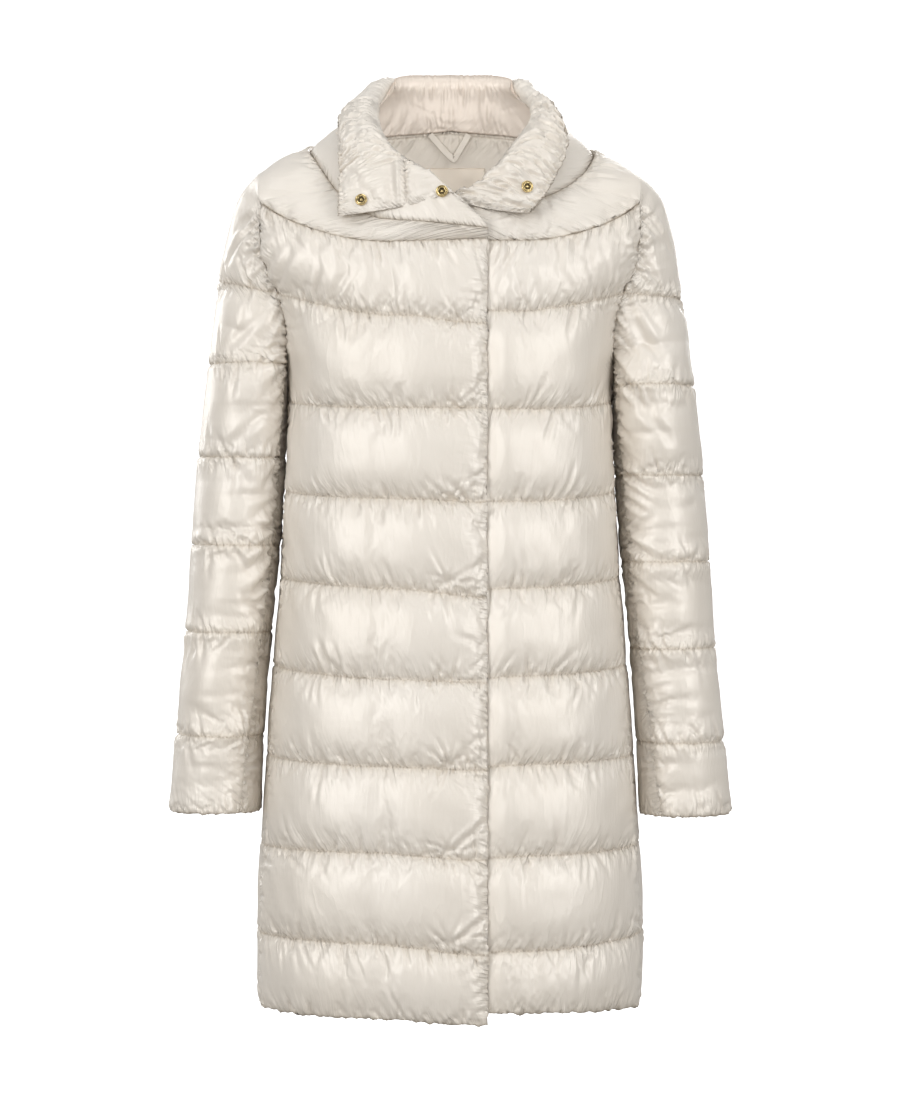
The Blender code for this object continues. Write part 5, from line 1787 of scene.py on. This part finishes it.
cut = [makeFront(-1), makeFront(1), makeBack(), makeSleeve(-1), makeSleeve(1), makeUnderSleeve(-1),
       makeUnderSleeve(1), makeCollar()]
panels = {panel.name: panel for panel in cut}
print("panels cut:", sum(len(panel.base) for panel in cut), "points")
inflate(cut)
for panel in cut:
    tall = np.sum(panel.offset * panel.normals, axis=1)
    print(panel.name, len(panel.base), "highest", round(tall.max(), 4), "lowest", round(tall.min(), 4))
print("panels inflated")
pieces = {}
for number, panel in enumerate(cut):
    for part in range(len(panel.grids)):
        calm(panel, part, seeded(otherSeeds["calming"] + number))
    settle(panel)
    puckerPanel(panel)
    walls = (collarMake["outGap"], collarMake["wallIn"]) if panel.name == "collar" else ()
    pieces[panel.name] = buildPanel(panel, shell, "shell", *walls)
print("shell made")


liningMake = {"folds": 9, "turn": 0.12, "length": (0.03, 0.08), "width": 0.0030, "depth": 0.0006, "bend": 0.1,
              "top": 0.35, "clear": 0.0016, "evened": 30, "lowest": -0.0006, "highest": 0.0010}
facingMake = {"thickness": 0.0010, "gap": 0.0003, "inset": 0.03, "top": 0.038, "puckers": 0.8,
              "lowest": -0.0001, "folds": (10, 0.020, 0.080, 0.0008)}
# left, right, top and bottom as seen from the front
patchMake = {"box": (-0.033, 0.037, 0.008, -0.030), "gap": 0.0012, "across": 7, "down": 4, "steps": 9,
             "half": 0.0004, "folds": (6, 0.015, 0.050, 0.0002)}
loopMake = {"width": 0.0068, "thickness": 0.0020, "off": 0.0045, "steps": 6, "evened": 6, "curl": 0.0006,
            "curlTurn": 0.55, "evening": 0.8}
# the strip's section, in parts of its half width and half thickness
loopSection = readTable("""
    wide   thick
    0.94   0.00
    1.00   0.50
    0.93   1.00
    0.72   0.90
    0.00   1.05
   -0.72   0.90
   -0.93   1.00
   -1.00   0.50
   -0.94  -1.00
    0.00  -1.00
    0.94  -1.00
""")
loopLine = readTable("""
    x        z
   -0.0215   0.0430
   -0.0130   0.0335
   -0.0045   0.0240
    0.0040   0.0160
    0.0095   0.0250
    0.0150   0.0340
    0.0200   0.0430
""")


def flatSize(grid):
    return float(grid.across[:, -1].mean()), float(grid.down[-1].mean())


def makeLining():
    # smooth lining on the neck side of the stand, round the back of the neck
    collar, every = panels["collar"], cloth["insideEvery"]
    rows = collar.fold + 1
    chosen = np.where(collar.angles >= collarMake["liningFrom"])[0]
    chosen = chosen[:(len(chosen) - 1) // every * every + 1]
    ids = collar.ids[0][:rows, chosen]
    normals = collar.normals[ids]
    detail = np.maximum(collar.grids[0].height[:rows, chosen], 0)[..., None] * normals
    lift = np.maximum(np.sum((collar.offset[ids] + detail) * normals, axis=-1), 0)
    height = smoothed(np.maximum(lift, smoothed(lift, liningMake["evened"])), 2)
    height = height + collarMake["outGap"] + liningMake["clear"]
    grid = Grid(collar.base[ids] + normals * height[..., None], True)
    panel, random = Panel("collar_lining", [grid]), seeded(otherSeeds["lining"])
    for _ in range(liningMake["folds"]):
        i, j = random.integers(2, grid.shape[0] - 2), random.integers(4, grid.shape[1] - 4)
        heading = math.pi / 2 + random.normal(0, liningMake["turn"])
        length = random.uniform(*liningMake["length"])
        bend = random.uniform(-liningMake["bend"], liningMake["bend"])
        pressTrough(grid, i, j, heading, length, liningMake["width"], liningMake["depth"], bend)
    puckerSeam(grid, random, rowLine(grid, 0), (1, 0), liningMake["top"])
    grid.height = np.clip(grid.height, liningMake["lowest"], liningMake["highest"])
    half = facingMake["thickness"] / 2
    made = buildPanel(panel, lining, "lining", half, half)
    width, length = flatSize(grid)
    print("lining", round(width, 4), round(length, 4))


def makeFacing():
    # facing on the inside of both halves of the yoke, from the shoulder round the centre back
    half = facingMake["thickness"] / 2
    parts = []
    for name in ("sleeve_right", "sleeve_left"):
        panel = panels[name]
        ids = panel.ids[0][:, panel.parts[0] + panel.parts[1]:]
        parts.append(panel.base[ids] - panel.normals[ids] * (cloth["wallIn"] + facingMake["gap"] + half))
    rows = np.concatenate((parts[0], parts[1][:, ::-1][:, 1:]), axis=1)
    at = np.linspace(facingMake["inset"], 1 - facingMake["inset"], len(rows)) * (len(rows) - 1)
    low = np.minimum(at.astype(int), len(rows) - 2)
    part = (at - low)[:, None, None]
    grid = Grid(rows[low] * (1 - part) + rows[low + 1] * part, False)
    panel, random = Panel("neck_facing", [grid]), seeded(otherSeeds["facing"])
    grid.height = np.maximum(waves(grid, random, *facingMake["folds"]), facingMake["lowest"])
    puckerSeam(grid, random, rowLine(grid, 0), (1, 0), facingMake["puckers"])
    grid.height = np.maximum(grid.height, facingMake["lowest"])
    made = buildPanel(panel, facing, "facing", half, half)
    return made


def treeOf(piece):
    mesh = piece.data
    points = np.empty(len(mesh.vertices) * 3, np.float32)
    mesh.vertices.foreach_get("co", points)
    return BVHTree.FromPolygons(points.reshape(-1, 3).tolist(), [p.vertices[:] for p in mesh.polygons])


def seenDepth(tree, x, z):
    return tree.ray_cast(Vector((x, 0, min(z, facingMake["top"]))), Vector((0, 1, 0)))[0].y


def makePatch(tree):
    left, right, top, bottom = patchMake["box"]
    across = np.linspace(left, right, patchMake["across"] + 1)
    up = np.linspace(top, bottom, patchMake["down"] + 1)
    coarse = np.array([[(x, seenDepth(tree, x, z) - patchMake["gap"], z) for x in across] for z in up])
    rows = throughRows(coarse, [patchMake["steps"]] * patchMake["down"])
    rows = throughRows(rows.swapaxes(0, 1), [patchMake["steps"]] * patchMake["across"]).swapaxes(0, 1)
    grid = Grid(rows, False)
    panel = Panel("label_patch", [grid])
    grid.height = waves(grid, seeded(otherSeeds["patch"]), *patchMake["folds"])
    made = buildPanel(panel, patch, "patch", patchMake["half"], patchMake["half"])


def makeLoop(tree):
    # a narrow folded strip, from the neck seam to its tip and up again
    knots = np.array([loopLine["x"], loopLine["z"]]).T
    fine = throughKnots(knots, loopMake["steps"])
    depth = np.array([seenDepth(tree, x, z) - loopMake["off"] for x, z in fine])
    for _ in range(loopMake["evened"]):
        depth[1:-1] += ((depth[:-2] + depth[2:]) / 2 - depth[1:-1]) * loopMake["evening"]
    ahead = unit(np.gradient(fine, axis=0))
    aside = np.stack((-ahead[:, 1], ahead[:, 0]), axis=-1)
    half, thick = loopMake["width"] / 2, loopMake["thickness"] / 2
    vertices, faces, count = [], [], len(loopSection["wide"])
    for i, (x, z) in enumerate(fine):
        curl = loopMake["curl"] * math.sin(i * loopMake["curlTurn"])
        for w, t in zip(loopSection["wide"] * half, loopSection["thick"] * thick):
            vertices.append((x + aside[i, 0] * w, depth[i] - t - curl * w / half, z + aside[i, 1] * w))
    for i in range(len(fine) - 1):
        for k in range(count):
            a, b = i * count + k, i * count + (k + 1) % count
            faces.append((a, b, b + count, a + count))
    faces.append(tuple(range(count))[::-1])
    faces.append(tuple(range(len(vertices) - count, len(vertices))))
    addMesh("hanger_loop_strip", vertices, faces, facing, ["hanger_loop"])


def throughKnots(knots, steps):
    # straight steps between each two knots
    parts = [a + (b - a) * np.linspace(0, 1, steps + 1)[:-1, None] for a, b in zip(knots, knots[1:])]
    return np.concatenate(parts + [knots[-1:]])


snapMake = {
    "radius": 0.0062,
    "height": 0.0030,
    "segments": 60,
    "lobes": 6,
    "seat": 0.0004,
    "probes": (0.0025, 0.0050),     # the cloth's height is taken at these distances
    "ridge": 0.006,
}
# from its middle to its foot, in parts of its radius and height
snapOutline = readTable("""
    radius  height  lobes
    0.00    0.60    0.00
    0.12    0.60    0.00
    0.20    0.52    0.00
    0.26    0.34    0.02
    0.34    0.30    0.06
    0.44    0.40    0.10
    0.52    0.62    0.10
    0.60    0.74    0.04
    0.68    0.70    0.00
    0.74    0.60    0.00
    0.80    0.66    0.00
    0.87    0.84    0.00
    0.94    0.80    0.00
    0.99    0.58    0.00
    1.00    0.30    0.00
    0.96    0.00    0.00
""")


def revolved(profile, sides):
    # a surface of revolution: rings of points round the first one, which is on its axis
    vertices = [(0, 0, profile[0][1])]
    for radius, z, lobes in profile[1:]:
        for turn in np.linspace(0, 2 * math.pi, sides + 1)[:-1]:
            reach = radius + lobes * math.cos(snapMake["lobes"] * turn)
            vertices.append((reach * math.cos(turn), reach * math.sin(turn), z))
    faces = [(0, 1 + k, 1 + (k + 1) % sides) for k in range(sides)]
    for ring in range(len(profile) - 2):
        for k in range(sides):
            a, b = 1 + ring * sides + k, 1 + ring * sides + (k + 1) % sides
            faces.append((a, a + sides, b + sides, b))
    return vertices, faces


def makeSnap(name, tree, x, z):
    # a turned snap button, on the mean surface of the cloth round it
    hits = []
    for turn in np.linspace(0, 2 * math.pi, 13)[:-1]:
        for reach in snapMake["probes"]:
            start = Vector((x + reach * math.cos(turn), -1, z + reach * math.sin(turn)))
            hits.append(tree.ray_cast(start, Vector((0, 1, 0)))[:2])
    depths = sorted(place.y for place, _ in hits)
    near = [hit for hit in hits if hit[0].y < depths[len(depths) // 2] + snapMake["ridge"]]
    seat = sum((place for place, _ in near), Vector()) / len(near)
    normal = sum((normal for _, normal in near), Vector()).normalized()
    seat = Vector((x, seat.y, z))
    radius, sides = snapMake["radius"], snapMake["segments"]
    profile = [(radius * r, snapMake["height"] * height, radius * lobes / 2) for r, height, lobes
               in zip(*snapOutline.values())]
    vertices, faces = revolved(profile, sides)
    faces.append(tuple(range(len(vertices) - sides, len(vertices)))[::-1])
    turn = normal.to_track_quat("Z", "Y").to_matrix().to_4x4()
    place = Matrix.Translation(seat + normal * snapMake["seat"]) @ turn
    made = addMesh(name + "_metal", [tuple(place @ Vector(v)) for v in vertices], faces, gold, [name])
    reach = [0.0] + [r for r in snapOutline["radius"][1:] for _ in range(sides)]
    made.data.attributes.new("fromMiddle", "FLOAT", "POINT").data.foreach_set("value", reach)


stitchMake = {
    "start": 0.002,
    "pitch": 0.0040,
    "length": 0.0028,
    "radius": 0.00055,
    "lift": 0.00040,
}
stitchOwners = {"body_stitches": ("front_right", "front_left", "back"),
                "sleeve_stitches": ("sleeve_right", "sleeve_left")}


def stitchesAlong(points, normals, vertices, faces):
    # small raised threads along a line of points
    along = lengthAlong(points)
    for start in np.arange(stitchMake["start"], along[-1] - stitchMake["length"], stitchMake["pitch"]):
        a, m, b = (np.array([np.interp(s, along, points[:, k]) for k in range(3)])
                   for s in (start, start + stitchMake["length"] / 2, start + stitchMake["length"]))
        normal = unit(np.array([np.interp(start, along, normals[:, k]) for k in range(3)]))
        ahead = unit(b - a)
        aside = np.cross(normal, ahead) * stitchMake["radius"]
        middle = m + normal * stitchMake["lift"]
        first = len(vertices)
        vertices += [a, b, middle + aside, middle + normal * stitchMake["radius"], middle - aside]
        faces += [(first, first + 2, first + 3), (first, first + 3, first + 4),
                  (first + 1, first + 3, first + 2), (first + 1, first + 4, first + 3)]


def makeStitches():
    for name, owners in stitchOwners.items():
        vertices, faces = [], []
        for panel in (panels[owner] for owner in owners):
            for row in innerSeams(panel.grids[-1]):
                line = panel.ids[-1][row]
                stitchesAlong(panel.outer[line], panel.normals[line], vertices, faces)
        addMesh(name, vertices, faces, thread)


makeLining()
facingTree = treeOf(makeFacing())
makePatch(facingTree)
makeLoop(facingTree)
collarTree = treeOf(pieces["collar"])
for name, x, z in zip(("snap_collar_right", "snap_collar_left", "snap_neck"), snaps["x"], snaps["z"]):
    makeSnap(name, collarTree, x, z)
makeStitches()
print("lining, facing, patch, loop, snaps and stitches made")


studio = {
    "floorZ": -1.45,
    "coveRadius": 7.0,
    "coveCurve": 1.6,
    "coveHeight": 7.0,
    "cameraDistance": 3.33,
    "cameraZ": -0.40,
    "frameHeight": 1.1,         # metres seen at the coat's front
    "frontDistance": 3.2,
    "sensor": 36.0,
    "sides": 96,
    "curveSteps": 12,
    "sky": ((0.25, (0.52, 0.49, 0.45)), (0.80, (0.82, 0.82, 0.82))),    # from below to above
    "ambient": 0.65,
    "paperGlow": 0.9,
    "lamps": (
        ("leftBox", (-2.5, -3.0, 0.5), (0, 0, -0.40), 1.8, 2.4, 61),
        ("rightBox", (2.5, -3.0, 0.5), (0, 0, -0.40), 1.8, 2.4, 58),
        ("frontBox", (0.0, -3.7, 0.45), (0, 0, -0.35), 1.0, 0.8, 5),
        ("topBox", (0.0, -0.6, 2.4), (0, 0, -0.4), 2.4, 1.6, 12),
        ("backBox", (0.8, 3.4, 1.2), (0, 0, -0.4), 1.8, 2.2, 60),
        ("backFill", (-2.6, 2.6, 0.8), (0, 0, -0.4), 1.6, 2.0, 36),
    ),
    # a small bounce card inside the neck
    "card": ("neckCard", (0.0, -0.055, -0.020), (0, 0.10, 0.015), 0.10, 0.04, 0.070),
}


paperFinish = {"name": "palePaper", "light": (0.93, 0.93, 0.925), "dark": (0.91, 0.91, 0.905),
               "roughness": 0.9, "size": 1.2, "glow": (1, 1, 0.99)}


def addObject(name, data):
    made = bpy.data.objects.new(name, data)
    bpy.context.scene.collection.objects.link(made)
    return made


def makeCove():
    material = plainMaterial(paperFinish)
    shader = material.node_tree.nodes["Principled BSDF"]
    shader.inputs["Emission Color"].default_value = (*paperFinish["glow"], 1)
    shader.inputs["Emission Strength"].default_value = studio["paperGlow"]
    floor, curve, radius = studio["floorZ"], studio["coveCurve"], studio["coveRadius"]
    profile = [(0.0, floor, 0), (radius - curve, floor, 0)]
    for k in range(1, studio["curveSteps"] + 1):
        turn = math.pi / 2 * k / studio["curveSteps"]
        profile.append((radius - curve * (1 - math.sin(turn)), floor + curve * (1 - math.cos(turn)), 0))
    profile.append((radius, studio["coveHeight"], 0))
    mesh = bpy.data.meshes.new("studio_cove")
    vertices, faces = revolved(profile, studio["sides"])
    mesh.from_pydata(vertices, [], faces)
    mesh.shade_smooth()
    mesh.materials.append(material)
    cove = addObject("studio_cove", mesh)
    cove.visible_glossy = False
    cove.visible_diffuse = False


def makeSky():
    world = bpy.data.worlds.new("studio")
    world.use_nodes = True
    tree = world.node_tree
    direction = addNode(tree, "TexCoord").outputs["Generated"]
    height = addNode(tree, "SeparateXYZ", Vector=direction).outputs[2]
    sky = toneRamp(tree, mathNode(tree, "MULTIPLY_ADD", height, 0.5, 0.5), studio["sky"])
    tree.links.new(sky, tree.nodes["Background"].inputs["Color"])
    tree.nodes["Background"].inputs["Strength"].default_value = studio["ambient"]
    bpy.context.scene.world = world


def makeLamps():
    for name, place, aim, width, tall, power in (*studio["lamps"], studio["card"]):
        lamp = bpy.data.lights.new(name, "AREA")
        lamp.shape = "RECTANGLE"
        lamp.size, lamp.size_y, lamp.energy = width, tall, power
        holder = addObject(name, lamp)
        holder.location = place
        holder.visible_camera = False
        holder.rotation_euler = (Vector(aim) - Vector(place)).to_track_quat("-Z", "Y").to_euler()


def makeCamera():
    camera = bpy.data.cameras.new("camera")
    camera.sensor_width = studio["sensor"]
    camera.lens = studio["sensor"] * studio["frontDistance"] / studio["frameHeight"]
    holder = addObject("camera", camera)
    holder.location = (0, -studio["cameraDistance"], studio["cameraZ"])
    holder.rotation_euler = (math.pi / 2, 0, 0)
    bpy.context.scene.camera = holder
    bpy.context.scene.view_settings.view_transform = "Standard"


makeCove()
makeSky()
makeLamps()
makeCamera()
print("studio ready")
